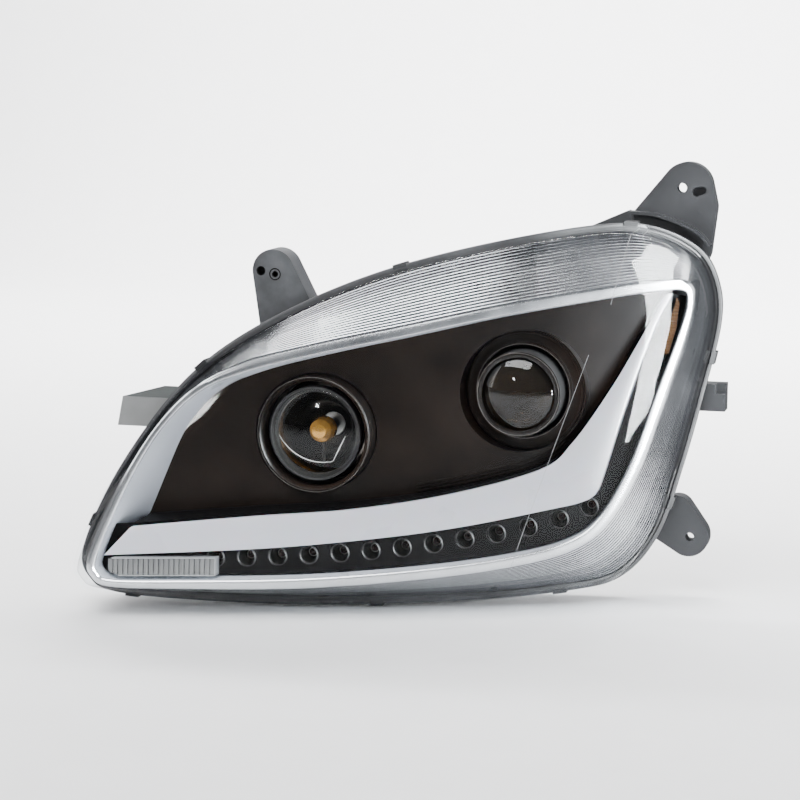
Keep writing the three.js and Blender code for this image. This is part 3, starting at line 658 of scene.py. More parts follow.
HOUSING = solid(
    "housing_plastic", (0.027, 0.0285, 0.033), 0.42, vary=0.13, grain=0.35, grain_scale=1900,
)
EAR_GREY = solid("ear_plastic", (0.058, 0.061, 0.067), 0.42, vary=0.3, grain=0.35, patch_scale=45)
LENS = clear("lens_polycarbonate", (0.985, 0.99, 0.993), 1.23, 0.04)
PALE_LINE = solid("lens_pale_line", (0.50, 0.51, 0.53), 0.3, vary=0.1, grain=0.05)
FRIT = solid("lens_foot_frit", (0.035, 0.036, 0.04), 0.35, grain=0.1)
BRASS = solid("contact_brass", (0.66, 0.48, 0.20), 0.25, metallic=1.0, vary=0.08, grain=0.05)
SEALANT = solid("sealant_grey", (0.05, 0.05, 0.052), 0.5, vary=0.1, grain=0.2)
SILVER = silver("bezel_silver", (0.66, 0.665, 0.68))
# Darker copies of the silver and the groove colour are painted shade on the bezel's ribs.
SILVER_SHADED = silver("bezel_silver_painted_shade", (0.30, 0.305, 0.32))
SILVER_HALF_SHADED = silver("bezel_silver_painted_half_shade", (0.46, 0.465, 0.48))
GROOVE_SHADE = solid("bezel_groove_painted_shade", (0.07, 0.07, 0.075), 0.3, metallic=0.8, vary=0.1)
# Bluish white on the bezel's return wall is a painted reflection of pale surroundings on a chrome
# flank.
WALL_REFLECTION = solid(
    "bezel_return_wall_painted_reflection", (0.80, 0.84, 0.91), 0.3, metallic=0.12, vary=0.06, grain=0.03,
)
BORE_SHADOW = solid("bore_shadow", (0.004, 0.004, 0.004), 0.7, grain=0.1, Specular_IOR_Level=0.1)
SIDE_GUIDE = solid(
    "side_guide_grey", (0.20, 0.205, 0.205), 0.5, vary=0.16, grain=0.3, grain_scale=1900,
)
# Darker copy of the side guide's grey: painted shade on its top.
SIDE_GUIDE_TOP_SHADE = solid(
    "side_guide_top_painted_shade", (0.04, 0.044, 0.044), 0.8, vary=0.25, grain=0.3, Specular_IOR_Level=0.05,
)
PANEL = solid(
    "panel_satin_black", (0.0125, 0.0072, 0.0047), 0.36, vary=0.5, patch_scale=11,
    Specular_IOR_Level=0.13,
)
CARRIER_BLACK = solid(
    "carrier_black", (0.0042, 0.0039, 0.0042), 0.5, vary=0.3, Specular_IOR_Level=0.03,
)
RIM = solid("shroud_gloss_black", (0.0100, 0.0072, 0.0058), 0.2, Specular_IOR_Level=0.4)
# Thin lighter rings on the shrouds' edges: painted highlight.
RING_HIGHLIGHT = solid("shroud_edge_painted_highlight", (0.11, 0.10, 0.09), 0.3, vary=0.3)
SHIELD = solid("shield_brown", (0.06, 0.034, 0.017), 0.35, grain=0.05)
MILKY = solid(
    "light_guide_milky", (0.77, 0.775, 0.845), 0.28, vary=0.03, grain=0.05, patch_scale=9,
    Subsurface_Weight=0.25, Subsurface_Scale=0.006, Coat_Weight=0.35,
)
CUP = solid("cup_black", (0.0022, 0.0020, 0.0020), 0.35, vary=0.3, Specular_IOR_Level=0.1)
AMBER = solid("amber_prisms", (0.17, 0.085, 0.035), 0.14, grain=0.05, Coat_Weight=0.6)
PRISM = solid(
    "clear_prisms", (0.26, 0.265, 0.265), 0.12, vary=0.12, grain=0.1, metallic=0.3,
    Coat_Weight=0.8,
)
PRISM_EDGE = solid(
    "clear_prism_frame", (0.42, 0.43, 0.44), 0.2, vary=0.05, grain=0.05, Coat_Weight=0.5,
)
CHROME = solid("trim_chrome", (0.86, 0.87, 0.88), 0.05, metallic=1.0, vary=0.02)
# The high beam's reflector is chrome painted dark: a painted dark reflection of dim surroundings.
CHROME_DARKENED = solid("reflector_painted_dark_reflection", (0.15, 0.135, 0.12), 0.15, metallic=1.0, vary=0.05)
# The low beam's reflector is painted near-black brown: painted shade inside the projector, where a
# bright mirror would show the floor.
BROWN_MIRROR_DARKENED = solid("reflector_brown_painted_shade", (0.055, 0.034, 0.018), 0.12, metallic=1.0, vary=0.15)
GOLD = solid("bulb_coating", (0.80, 0.42, 0.09), 0.16, metallic=0.6, vary=0.1, grain=0.02)
STEEL = solid(
    "zinc_steel", (0.55, 0.555, 0.56), 0.3, metallic=1.0, vary=0.12, grain=0.1, stretch=(1, 14, 1),
)
CLIP = solid("clip_steel_black", (0.022, 0.023, 0.025), 0.55, grain=0.1, Specular_IOR_Level=0.15)
FRAME = solid("glass_filled_frame", (0.012, 0.011, 0.011), 0.5, grain=0.3)
NYLON = solid(
    "natural_nylon", (0.66, 0.62, 0.52), 0.42, vary=0.06, grain=0.15, Subsurface_Weight=0.1,
)
RUBBER = solid("rubber", (0.018, 0.018, 0.02), 0.62, grain=0.3, grain_scale=900)
CONNECTOR = solid("connector_plastic", (0.022, 0.022, 0.025), 0.38, vary=0.15, grain=0.25)
CAST = solid(
    "cast_aluminium", (0.42, 0.43, 0.445), 0.45, metallic=0.9, vary=0.12, grain=0.4,
    grain_scale=700,
)
BOARD = solid("solder_mask_white", (0.74, 0.75, 0.71), 0.35, vary=0.05, grain=0.1)
LED = solid("led_phosphor", (0.020, 0.0035, 0.002), 0.45, vary=0.3, Specular_IOR_Level=0.12)
OPTIC = glass("projector_glass", (0.30, 0.23, 0.16))
BULB = clear("bulb_quartz", (0.97, 0.96, 0.93), 1.5, 0.02)
THIN_OPTIC = clear("high_lens_clear", (0.97, 0.97, 0.96), 1.4, 0.05)


# ---------------------------- outer lens and its rim

def outer_lens():
    lean = 6 + 5.5 * np.clip(-FLANGE[:, 0] / 230, 0, 1)  # inset of the wall at its front

    def wall(foot, extra, share, y):
        return onto(inset(FLANGE, mix(foot, lean + extra, share)), flange_y, y)

    def crown(extra, lift):
        shares = 1 - np.linspace(1, 0.03, 16) ** 1.4
        depths = -53 - 21 * (1 - (1 - shares) ** 3.4) + lift
        ring = inset(FLANGE, lean + extra)
        return [onto(towards_spine(ring, s), flange_y, d) for s, d in zip(shares, depths)]

    obj = piece(
        "outer_lens_fine",
        loft([
            *crown(7.3, WALL)[::-1],
            wall(0, 5.0, 1, -49.4), wall(0, 3.4, 1, -47.5), wall(6.5, 3, 0.92, -44),
            wall(6.5, 3, 0.5, -24), wall(6.5, 3, 0.1, -2), wall(6.5, 3, 0, 3),
            onto(inset(FLANGE, 0.4), flange_y, 3), onto(FLANGE, flange_y, 2.6),
            onto(FLANGE, flange_y, 0.4), onto(inset(FLANGE, 0.4), flange_y, 0),
            wall(3.5, 0, 0, 0), wall(3.9, 0, 0, -1.2),
            wall(3.9, 0, 0.25, -12), wall(3.9, 0, 0.5, -24), wall(3.9, 0, 0.75, -36),
            wall(3.9, 0, 0.95, -46), wall(0, 0.2, 1, -49), wall(0, 1.0, 1, -51),
            wall(0, 2.6, 1, -52.3),
            *crown(4.8, 0),
        ], "zipped", "zipped"),
        LENS, ["outer_lens"], smooth=60,
    )
    obj.data.materials.append(FRIT)
    row = np.arange(len(obj.data.polygons)) // len(FLANGE)
    obj.data.polygons.foreach_set("material_index", np.isin(row, LENS_FOOT).astype(np.int32))
    for i, (start, end) in enumerate(PALE_LINES):
        points = []
        for share in np.linspace(0, 1, 40):
            x, z = mix(np.array(start, float), np.array(end, float), share)
            ahead = Vector(ORIGIN + np.array((x, -300, z)) * MM)
            hit, place, _, _ = obj.ray_cast(ahead, (0, 1, 0))
            points.append(((np.array(place) - ORIGIN) / MM) if hit else None)
        line = np.array([point for point in points if point is not None])
        side = np.array((0.17, 0, 0))
        proud = np.array((0, -0.14, 0))
        rows = [np.array([p - side, p - side + proud, p + side + proud, p + side]) for p in line]
        piece(f"outer_lens_pale_line_{i + 1}", loft(rows), PALE_LINE)


def seal():
    section = [
        (3.0, 3.7), (3.3, 3.4), (6.1, 3.4), (6.4, 3.8),
        (6.4, 6.2), (6.1, 6.6), (3.3, 6.6), (3.0, 6.3),
    ]
    piece(
        "lens_seal_fine", hoop([onto(inset(FLANGE, d), flange_y, y) for d, y in section]),
        SEALANT, ["lens_seal"],
    )


# ---------------------------- bezels

def under_lip(x, z):
    return panel_y(x, z) - GAP


def outer_bezel():
    """Silver frame: a fluted slope, a smooth lip, and a return wall down to the panel."""
    start, end = inset(FLANGE, 8), LIP_OUTER
    front, lip_front = -1.0, LIP + 3
    flute = [(0.0, 0.0), (0.16, 0.0), (0.34, 0.75), (0.58, 1.0), (0.82, 0.75)]
    loops = []
    for k in range(RIBS):
        for share, lift in flute:
            across = (k + share) / RIBS
            depth = mix(front, lip_front, across) - RIB_HEIGHT * lift
            loops.append(onto(mix(start, end, across), flange_y, depth))
    crest = inset(LIP_RING, -3)
    lip = [
        (end, 3), (mix(end, crest, 0.25), 0.4), (mix(end, crest, 0.6), -0.7), (crest, -1),
        (inset(LIP_RING, -1), -0.9), (LIP_RING, 0), (mix(LIP_RING, PANEL_RING, 0.04), 1),
    ]
    loops += [
        *[onto(ring, flange_y, LIP + lift) for ring, lift in lip],
        onto(PANEL_RING, under_lip, 0),
        onto(inset(PANEL_RING, -2.2), under_lip, 0),
        onto(inset(LIP_RING, -2.2), flange_y, LIP + 4),
        onto(LIP_OUTER, flange_y, LIP + 6),
        onto(inset(FLANGE, 10), flange_y, 2),
    ]
    obj = piece("outer_bezel_fine", hoop(loops), SILVER, ["outer_bezel"], smooth=24)
    # Painted shade: the troughs between the flutes and the outer ribs get darker copies of the
    # silver.
    groove, wall, dark, middle = 1, 2, 3, 4
    coat(obj, SILVER, GROOVE_SHADE, WALL_REFLECTION, SILVER_SHADED, SILVER_HALF_SHADED)
    count = len(FLANGE)
    row = np.repeat(np.arange(len(loops)), count)
    grooved = (row < RIBS * len(flute)) & np.isin(row % len(flute), (0, len(flute) - 1))
    # The return wall gets the painted reflection colour.
    return_wall = RIBS * len(flute) + 6  # from the lip's edge down to the panel
    index = np.where(row == return_wall, wall, 0)
    index[row < MID_RIBS * len(flute)] = middle
    index[row < DARK_RIBS * len(flute)] = dark
    index[grooved] = groove
    obj.data.polygons.foreach_set("material_index", index.astype(np.int32))


PATH_STEPS = 110
TOP_EDGE = open_path(GUIDE_TOP, PATH_STEPS)
BOTTOM_EDGE = open_path(GUIDE_BOTTOM, PATH_STEPS)
CUPS = open_path(CUP_PATH, CUP_COUNT - 1)


def lower_run(ring):
    """The part of a ring from above the nose, along the bottom and up to the outboard corner."""
    last = 12 * STEPS - STEPS // 2  # half way from station 11 to station 12
    return np.concatenate([ring[last:], ring[:STEPS + 1]])[::-1]


def inner_bezel():
    ring = inset(PANEL_RING, -6)
    shares = [0, 0.05, 0.15, 0.3, 0.45, 0.6, 0.75, 0.88, 0.96]

    def face(offset):
        return [onto(towards_spine(ring, s), panel_y, offset) for s in shares]

    cut_above = shifted(TOP_EDGE, np.where(TOP_EDGE[:, 0] > 220, -5, 4))
    under = prism(np.concatenate([cut_above, lower_run(inset(LIP_RING, -14))[::-1]]), -300, 300)
    low_r, high_r = radius_of("low_shroud_ring") + 0.8, radius_of("high_shroud_ring") + 1.0
    holes = [disc(at, r, -THROUGH, THROUGH, 128) for at, r in ((LOW, low_r), (HIGH, high_r))]
    piece(
        "inner_bezel_fine",
        loft([*face(0)[::-1], *face(PLATE)], "zipped", "zipped"),
        PANEL, ["inner_bezel"],
        cut=[under, *holes], edge=0.5,
    )
    steps = [(4.0, 2.2), (7.2, 1.8), (10.4, 1.4)]
    run = TOP_EDGE[(TOP_EDGE[:, 0] > 20) & (TOP_EDGE[:, 0] < 168)]
    for i, (out, high) in enumerate(steps):
        ridge = band(shifted(run, -out - 1.5), shifted(run, -out), panel_y, -high, 0.8)
        piece(f"inner_bezel_step_{i + 1}", ridge, PANEL, edge=0.4)


def low_recess():
    """Funnel from the panel down to the low beam's ring."""
    r = radius_of("low_shroud_ring") + 0.9
    wall = np.array([(LOW[0] + r * math.sin(a), LOW[1] + r * math.cos(a)) for a in angles(128)])
    thick = inset(wall, -1.6)
    deep = 31
    loops = [
        onto(wall, panel_y, 0.3), flat(wall, deep), flat(thick, deep), onto(thick, panel_y, 0.3),
    ]
    piece("low_recess_wall", hoop(loops), PANEL, smooth=40)


def carrier():
    top = shifted(TOP_EDGE, -2.5)
    rim = open_path(lower_run(inset(LIP_RING, 3))[::4], PATH_STEPS)
    plate = band(top, rim, flange_y, CARRIER, CARRIER + PLATE)
    skirt = band(top, shifted(TOP_EDGE, 0.2), flange_y, CARRIER, 0, under_lip)
    holes = [disc(tuple(c), CUP_R, -THROUGH, THROUGH, 40) for c in CUPS]
    piece(
        "drl_carrier_fine", plate, CARRIER_BLACK, ["drl_carrier"],
        add=[skirt], cut=[together(holes)], edge=0.35,
    )


def light_guide():
    piece(
        "light_guide_fine",
        band(TOP_EDGE, BOTTOM_EDGE, flange_y, GUIDE, CARRIER - GAP),
        MILKY, ["light_guide"], edge=1.1,
    )


def cups():
    """The row of LED wells behind the carrier, each with its LED."""
    front = CARRIER + PLATE + GAP
    path = open_path(CUP_PATH, 60)
    plate = strip(path, CUP_R, front, front + 1.6)
    wells, holes, leds, rims = [], [], [], []
    for x, z in CUPS:
        y = float(flange_y(x, z)) + front
        foot = y + CUP_DEPTH
        wells.append(lathe([(0, y + 0.2), (8.8, y + 0.2), (6.2, foot), (0, foot)], (x, z), 40))
        hole = [
            (0, y - 8), (8.3, y - 8), (8.3, y - 0.2), (7.6, y + 0.9), (5.2, foot - 2),
            (4, foot + 1), (0, foot + 1),
        ]
        holes.append(lathe(hole, (x, z), 40))
        rim = [(9.4, y - 2.9), (9.4, y + 0.1), (8.8, y + 0.1), (8.6, y - 2.9), (9.0, y - 3.3)]
        rims.append(lathe(rim, (x, z), 48))
        bend = np.linspace(0, math.pi / 2, 7)
        dome = [(LED_R * math.sin(a), foot - 1.2 * math.cos(a)) for a in bend]
        base = [(3.8, foot), (3.8, foot + 0.8), (0, foot + 0.8)]
        leds.append(lathe([(0.0, dome[0][1]), *dome[1:], *base], (x, z), 24))
    piece(
        "turn_cup_strip_fine", plate, CUP, ["turn_cup_strip"],
        add=[together(wells)], cut=[together(holes)], edge=0.2,
    )
    piece("turn_leds", together(leds), LED)
    piece("turn_cup_rims", together(rims), FRAME)


def reflectors():
    """The amber side reflector and the clear one at the nose, both ribbed."""
    ribs = 21
    pitch = 102 / ribs
    steps = [(0.0, -42.4), (0.14, -42.4), (0.28, -43.9), (0.86, -43.9)]
    x = np.array([-262 + (k + share) * pitch for k in range(ribs) for share, _ in steps] + [-160])
    depths = np.array([depth for _ in range(ribs) for _, depth in steps] + [-43.9])
    top = np.stack([x, np.full(len(x), -149.8)], axis=1)
    bottom = np.stack([x, np.where(x < -254, -165.5 + (-254 - x) * 0.6, -165.5)], axis=1)
    piece(
        "front_reflex_fine", band(top, bottom, flange_y, depths, CARRIER - GAP), PRISM,
        ["front_reflex_reflector"], smooth=10,
    )
    for i, (first, last) in enumerate([
        ((-159.6, -149.0), (-159.6, -166.4)), ((-159.6, -149.0), (-258, -149.0)),
        ((-159.6, -166.2), (-252, -166.2)),
    ]):
        path = open_path([first, last], 24)
        piece(
            f"front_reflex_frame_{i + 1}", strip(path, 0.55, -44.8, CARRIER - GAP), PRISM_EDGE,
            edge=0.3,
        )
    z = np.linspace(102, 47, 2 * 20 + 1)
    outer = np.stack([np.interp(z, [47, 72, 97, 102], [257.4, 263.6, 265.6, 263.4]), z], axis=1)
    inner = np.stack([np.interp(z, [47, 68, 96, 102], [248.4, 253.4, 262.0, 262.6]), z], axis=1)
    teeth = np.where(np.arange(len(z)) % 2 == 0, -40, -39)
    piece(
        "side_reflector_fine", band(outer, inner, flange_y, teeth, CARRIER - GAP), AMBER,
        ["side_reflector"], smooth=10,
    )


# ---------------------------- beams

def thin_ring(name, axis, r, y, body="lamp_body"):
    """A thin lighter ring on the edge of a shroud ring: a painted highlight."""
    section = [(r - 0.35, y), (r - 0.2, y - 0.35), (r + 0.2, y - 0.35), (r + 0.35, y)]
    piece(name, lathe(section, axis, 160), RING_HIGHLIGHT, body=body)


def low_beam():
    turned("low_shroud_ring", PANEL, edge=0.5, segments=128)
    turned("low_projector_lens", OPTIC, edge=0.4, segments=128)
    turned("low_lens_retainer", RIM, edge=0.4, segments=128)
    turned("low_lens_holder", FRAME, edge=0.3)
    turned("low_reflector", BROWN_MIRROR_DARKENED, edge=0.2)
    turned("low_bulb", BULB, edge=0.3, segments=48)
    finished("low_cutoff_shield", SHIELD, 0.2)
    finished("low_bulb_base", NYLON)
    proud = 0.02
    thin_ring("low_shroud_edge", LOW, 47.4, front_of("low_shroud_ring") - proud)
    thin_ring("low_lens_edge", LOW, 41.2, front_of("low_lens_retainer") - proud, "optic_frame")


def highlight_arcs():
    """Thin chrome strips just behind the high beam's lens: a painted highlight, the bright arc and
    line on its reflector.
    """
    y, half = -23.5, 0.45
    centre = np.array((HIGH[0] + 4, HIGH[1] + 20))
    turn = np.radians(np.linspace(209, 285, 60))
    arc = [centre + 50 * np.array((math.cos(a), math.sin(a))) for a in turn]
    far = np.array((HIGH[0] + 30, HIGH[1] - 2))
    straight = [mix(arc[-1], far, share) for share in np.linspace(0, 1, 24)]
    for i, path in enumerate((np.array(arc), np.array(straight))):
        taper = half * np.sin(np.linspace(0.35, math.pi - 0.35, len(path)))
        left, right = shifted(path, -taper), shifted(path, taper)
        pairs = np.stack([left, right], axis=1)
        rows = [np.concatenate([flat(pair, y), flat(pair[::-1], y + 0.8)]) for pair in pairs]
        piece(f"high_highlight_arc_{i + 1}", loft(rows), CHROME, body="optic_frame")


def high_beam():
    turned("high_shroud_ring", PANEL, edge=0.6, segments=128)
    turned("high_lens", THIN_OPTIC, edge=0.3, segments=128)
    turned("high_lens_holder", FRAME, edge=0.3, segments=128)
    turned("high_reflector", CHROME_DARKENED, edge=0.2, segments=128)
    turned("high_bulb", BULB, edge=0.3, segments=48)
    finished("high_bulb_cap", GOLD, 0.2)
    finished("high_bulb_base", STEEL)
    finished("high_bulb_bail", STEEL, 0.1)
    cap = frame["nodes"]["high_bulb_cap"].data
    cap.materials.append(FRAME)
    reach = 14 * MM  # the cap is gold to here, and dark further out
    x, z = ORIGIN[0] + HIGH[0] * MM, ORIGIN[2] + HIGH[1] * MM
    for polygon in cap.polygons:
        far = math.hypot(polygon.center.x - x, polygon.center.z - z) > reach
        polygon.material_index = int(far)
    thin_ring("high_shroud_edge", HIGH, 57.8, -36.6)
    highlight_arcs()


# ---------------------------- housing and ears

# Place, radius, start, end and bore of the bosses: pivot, two aiming screws, two vents.
BOSSES = [
    ((20, -70), 11, 67.5, 80, 3.5),
    ((20, 95), 13, 84, 97, 4.2),
    ((185, -70), 13, 113, 130, 4.2),
    ((-30, 70), 10, 70, 80, 3),
    ((-215, -95), 10, 1, 13, 3),
]
BACK_RIB_HALF = 1.0
BACK_RIB_HEIGHT = 5.0
BACK_RIBS = [
    ((-36, -20), (70, 0)), ((-34, -50), (74, -24)), ((-8, -170), (-8, 96)),
    ((150, -160), (150, -36)), ((-126, -50), (-240, -130)), ((-124, -20), (-222, -66)),
    ((-236, -172), (150, -170)), ((-100, 66), (180, 148)), ((60, 60), (36, 118)),
    ((170, 48), (214, 118)), ((-80, 18), (-80, 76)), ((-80, -84), (-80, -178)),
]
COLLARS = {"low_cap_collar": (LOW, 54, 60, 170), "high_cap_collar": (HIGH, 48, 0, 84)}


def lid(y):
    return [onto(towards_spine(FLANGE, share), flange_y, y) for share in (0.96, 0.5)]


def pan(grow=0.0):
    """Outside of the housing, from the middle of its rim to its floor."""
    front, back = 3.8 - grow, RIM_BACK + grow
    rim = [
        (0.9, front), (0.6, front + 0.3), (0.6, back - 0.3), (0.9, back), (7.6, back),
        (8.2, back + 0.8),
    ]
    top, foot = inset(FLANGE, 8.2), mix(FLANGE, LIP_RING, 0.3)
    return loft([
        *lid(front),
        *[onto(inset(FLANGE, inward - grow), flange_y, y) for inward, y in rim],
        onto(mix(top, foot, 0.93), floor_y, -3 + grow),
        onto(mix(top, foot, 0.98), floor_y, -1 + grow),
        onto(inset(mix(FLANGE, LIP_RING, 0.32), -grow), floor_y, grow),
    ], "zipped", "flat")


def pan_inside():
    rim = [(2.6, -2), (2.6, 7), (11, 7)]
    return loft([
        *lid(-2),
        *[onto(inset(FLANGE, inward), flange_y, y) for inward, y in rim],
        onto(mix(FLANGE, LIP_RING, 0.4), floor_y, -WALL),
    ], "zipped", "flat")


def side_guide():
    """Block at the inboard side that slides past the bodywork; its free end is skewed."""
    front = np.array([(-283, -30), (-222, -30), (-222, 0), (-277, 0)], float)
    back = np.array([(-268, -30), (-222, -30), (-222, 0), (-262, 0)], float)
    obj = piece(
        "housing_side_guide", loft([flat(front, -52), flat(back, 24)]), SIDE_GUIDE,
        cut=[pan(0.05)], scraps=False, edge=0.9,
    )
    # Painted shade: faces that look up get the darker copy of the grey.
    obj.data.materials.append(SIDE_GUIDE_TOP_SHADE)
    for polygon in obj.data.polygons:
        polygon.material_index = int(polygon.normal.z > 0.7)


def housing():
    pads = [
        block((-187, 12, -145), (-143, 33, -115)),
        block((34, 66, -152), (106, 94, -112)),
        block((262, 138, -20), (306, 160, 8)),
    ]
    ribs = []
    for start, end in BACK_RIBS:
        path = open_path([start, end], 12)
        left, right = shifted(path, -BACK_RIB_HALF), shifted(path, BACK_RIB_HALF)
        ribs.append(band(left, right, floor_y, -1.5, BACK_RIB_HEIGHT))
    bosses = [disc(at, r, start, end) for at, r, start, end, _ in BOSSES]
    holes = [disc(at, hole, start - 20, end + 20, 32) for at, _, start, end, hole in BOSSES]
    bores = [disc(at, r - WALL, start - 40, end, 96) for at, r, start, end in COLLARS.values()]
    inside = new_object("inside", pan_inside())
    combine(inside, "DIFFERENCE", bosses)
    piece(
        "housing_fine", pan(), HOUSING, ["housing"],
        add=[*pads, *bosses, *ribs],
        cut=[
            block((296, 137, -2), (307, 148, 9)), inside, *holes, *bores,
            block((-180, 0, -139), (-150, 34, -121)),
        ],
        edge=0.7,
    )


def collars():
    for name, (at, r, start, end) in COLLARS.items():
        profile = [(r - WALL, start), (r, start), (r, end - 0.6), (r - 0.6, end), (r - WALL, end)]
        piece(name + "_fine", lathe(profile, at), HOUSING, [name], cut=[pan(GAP)])


EARS = {
    "upper_inboard_ear": dict(
        finish=EAR_GREY, front=-3, depth=28,
        circles=[(-132, 126, 22), (-131, 60, 14), (-101, 78, 16)],
        holes=[(-145, 126, 4.5), (-130, 123, 3)],
    ),
    "upper_outboard_ear": dict(
        finish=HOUSING, front=148, depth=16,
        circles=[(261.5, 207.5, 26), (271, 188, 21), (268, 145, 19), (215, 178, 9), (225, 150, 9)],
        holes=[(256, 207, 5)], kidney=[(271, 203, 4.5), (277, 205, 4)],
        shelf=[(203, 182), (234, 179), (271, 165), (287, 150)],
        wedge=[(166, 168), (203, 184), (207, 180), (207, 160)],
    ),
    "lower_outboard_ear": dict(
        finish=HOUSING, front=118, depth=18,
        circles=[(274, -148, 21), (262, -122, 16), (240, -140, 10)],
        holes=[(275.5, -148.5, 4.5)],
    ),
}


def ears():
    for name, ear in EARS.items():
        front, back = ear["front"], ear["front"] + ear["depth"]
        pocket = new_object("pocket", prism(round_hull(ear["circles"], 3.5), front + 5, back + 1))
        bosses = [disc((x, z), r + 8, front + 1, back + 2) for x, z, r in ear["holes"]]
        cuts = [disc((x, z), r, front - 1, back + 1) for x, z, r in ear["holes"]]
        extra = []
        if "kidney" in ear:
            grown = [(x, z, r + 3) for x, z, r in ear["kidney"]]
            bosses.append(prism(round_hull(grown), front + 1, front + 11))
            cuts.append(prism(round_hull(ear["kidney"]), front - 1, front + 9))
        if "shelf" in ear:
            path = open_path(ear["shelf"], 48)
            ring = np.concatenate([shifted(path, -1.6), shifted(path, 1.6)[::-1]])
            extra.append(prism(ring, front - 13, front + 4))
            extra.append(prism(np.array(ear["wedge"], float), front - 13, front + 5))
        combine(pocket, "DIFFERENCE", bosses)
        obj = piece(
            name + "_fine", prism(round_hull(ear["circles"]), front, back), ear["finish"], [name],
            add=extra, cut=[pocket, *cuts, pan(GAP)], scraps=False, edge=0.8,
        )
        # Painted shade: faces inside the holes of the upper inboard ear get the near-black bore
        # shadow colour.
        obj.data.materials.append(BORE_SHADOW)
        bores = ear["holes"] if name == "upper_inboard_ear" else []
        for polygon in obj.data.polygons:
            corners = [(np.array(obj.data.vertices[i].co) - ORIGIN) / MM for i in polygon.vertices]
            inside = any(
                all(math.hypot(x - bx, z - bz) < r + 0.3 for x, _, z in corners)
                for bx, bz, r in bores
            )
            polygon.material_index = int(inside)


def ear_ring():
    """Thin near-black ring round the pilot hole of the upper inboard ear: painted shade of a
    counterbore.
    """
    x, z, r = EARS["upper_inboard_ear"]["holes"][1]
    front = EARS["upper_inboard_ear"]["front"]
    section = [(r + 2.0, front), (r + 2.2, front - 0.5), (r + 3.0, front - 0.5), (r + 3.2, front)]
    piece("upper_inboard_ear_ring", lathe(section, (x, z), 48), BORE_SHADOW)


def clips():
    for i in range(9):
        finished(f"lens_clip_{i + 1}", CLIP, 0.35)


# ---------------------------- caps, inlet and fittings

def cap_grips(cap):
    """Finger grips moulded round the widest part of a dust cap."""
    x, z = axis_of(cap)
    r, front = radius_of(cap), front_of(cap)
    start, end = GRIP_SPAN
    half = math.radians(2.0)
    corners = [(r - 0.8, -half), (r + 0.9, -half / 2), (r + 0.9, half / 2), (r - 0.8, half)]
    grips = []
    for turn in angles(GRIPS):
        ring = [(x + out * math.sin(turn + a), z + out * math.cos(turn + a)) for out, a in corners]
        grips.append(prism(np.array(ring), front + start, front + end))
    piece(cap + "_grips", together(grips), RUBBER, body=body_of(cap))


def connector_pins():
    """Contact blades inside the harness inlet, in two rows of three."""
    x, z = axis_of("connector_inlet")
    back = (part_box("connector_inlet")[1].y - ORIGIN[1]) / MM
    places = [(x + 7 * i, z + 4 * side) for i in (-1, 0, 1) for side in (-1, 1)]
    blades = [block((u - 1.4, back - 19, v - 0.4), (u + 1.4, back - 7, v + 0.4)) for u, v in places]
    piece("connector_pins", together(blades), BRASS, edge=0.15)


def fittings():
    caps = ("low_dust_cap", "high_dust_cap")
    for cap in caps:
        turned(cap, RUBBER, edge=0.8)
    for cap in caps:
        cap_grips(cap)
    connector_pins()
    for socket in ("pivot_socket", "vertical_socket", "horizontal_socket"):
        turned(socket, NYLON, edge=0.3, segments=48, turn=40)
    for rod in ("pivot_ball_stud", "vertical_screw", "horizontal_screw"):
        turned(rod, STEEL, edge=0.2, segments=48, turn=40)
    for i in (1, 2):
        turned(f"led_driver_screw_{i}", STEEL, edge=0.3, segments=32)
    for i in (1, 2):
        turned(f"breather_vent_{i}", RUBBER, edge=0.4, segments=48)
    for node, material in {
        "pivot_nut": STEEL, "aim_frame": FRAME, "vertical_knob": NYLON, "horizontal_knob": NYLON,
        "connector_inlet": CONNECTOR, "led_driver": CAST, "drl_led_board": BOARD,
        "turn_led_board": BOARD,
    }.items():
        finished(node, material)


# ---------------------------- camera, floor and lights

VIEW = {"azimuth": 16, "elevation": 9, "distance": 2.2, "lens": 99}


def aim(obj, target):
    way = Vector(target) - obj.location
    obj.rotation_euler = way.to_track_quat("-Z", "Y").to_euler()


def camera():
    azimuth, elevation = (math.radians(VIEW[angle]) for angle in ("azimuth", "elevation"))
    back = Vector((
        math.sin(azimuth) * math.cos(elevation),
        -math.cos(azimuth) * math.cos(elevation),
        math.sin(elevation),
    ))
    obj = linked("camera", bpy.data.cameras.new("camera"))
    obj.location = Vector(ORIGIN) + back * VIEW["distance"]
    obj.data.lens = VIEW["lens"]
    aim(obj, ORIGIN)
    bpy.context.scene.camera = obj


def softbox(name, offset, size, power, colour=(1, 1, 1), target=(0, 0, 0), card=False):
    """A rectangular light. offset and target are metres from the middle of the lens.

    A card is only seen in reflections and doesn't light dull surfaces.
    """
    data = bpy.data.lights.new(name, "AREA")
    data.shape = "RECTANGLE"
    data.size, data.size_y = size
    data.energy = power
    data.color = colour
    obj = linked(name, data)
    obj.location = Vector(ORIGIN) + Vector(offset)
    obj.visible_diffuse = not card
    aim(obj, Vector(ORIGIN) + Vector(target))


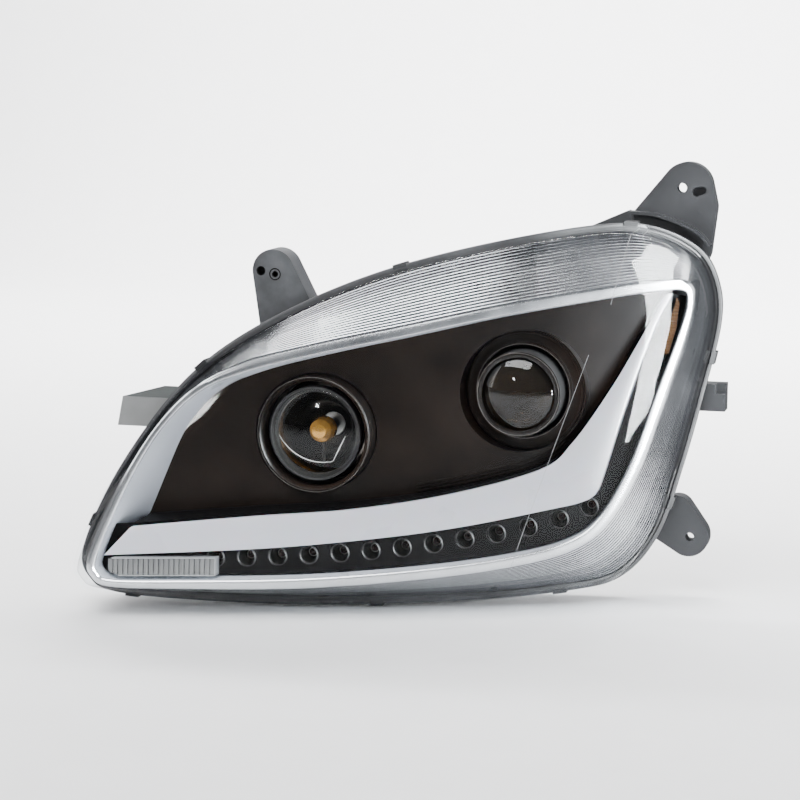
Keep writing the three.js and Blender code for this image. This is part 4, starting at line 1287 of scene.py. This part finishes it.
def stage_part(name, line, half, material, mirrored):
    """Part of the stage: a line of (y, z) points drawn out sideways."""
    points = [(x, y, z) for x in (-half, half) for y, z in line]
    count = len(line)
    faces = [(i, i + 1, count + i + 1, count + i) for i in range(count - 1)]
    mesh = bpy.data.meshes.new(name)
    mesh.from_pydata(points, [], faces)
    mesh.shade_smooth()
    mesh.materials.append(material)
    obj = linked(name, mesh)
    obj.visible_glossy = mirrored


def studio():
    """A pale floor that curves up into a wall, and soft lights."""
    floor = cad_low.z - 0.002
    near, back, radius, top, half = -12.0, 2.7, 0.7, 5.0, 8.0
    bend = np.linspace(0, math.pi / 2, 16)
    rise = [(back + radius * math.sin(a), floor + radius * (1 - math.cos(a))) for a in bend]
    pale = solid("floor_pale", (0.86, 0.86, 0.865), 0.9, vary=0.01, grain=0.02)
    join = 0.05  # the part behind this isn't mirrored in the lamp
    stage_part("floor", [(near, floor), (join, floor)], half, pale, True)
    backdrop = [(join, floor), (back, floor), *rise[1:], (back + radius, floor + top)]
    stage_part("backdrop", backdrop, half, pale, False)

    softbox("top_light", (-0.25, -0.9, 1.6), (1.7, 0.8), 52)
    softbox("left_light", (-1.7, -0.5, 0.7), (0.8, 1.4), 15)
    softbox("tall_light", (1.41, -0.505, 0.36), (0.36, 1.1), 330, (0.93, 0.97, 1.0), card=True)
    softbox("sparkle_light", (-0.55, -1.9, 0.9), (0.16, 0.16), 11, card=True)
    softbox("right_light", (1.6, 0.35, 0.5), (0.7, 1.0), 5)
    softbox("back_wall_light", (0, 1.9, 2.2), (4.0, 1.0), 520, target=(0, 3.3, 0.1))
    softbox("rim_light", (0.2, 0.9, 1.3), (2.0, 0.5), 18)

    world = bpy.data.worlds.new("studio")
    world.use_nodes = True
    sky = world.node_tree.nodes["Background"].inputs
    sky["Color"].default_value = (0.9, 0.93, 1.0, 1)
    sky["Strength"].default_value = 0.16
    bpy.context.scene.world = world


camera()
studio()
outer_lens()
seal()
outer_bezel()
inner_bezel()
low_recess()
carrier()
light_guide()
cups()
reflectors()
low_beam()
high_beam()
housing()
side_guide()
collars()
ears()
ear_ring()
clips()
fittings()
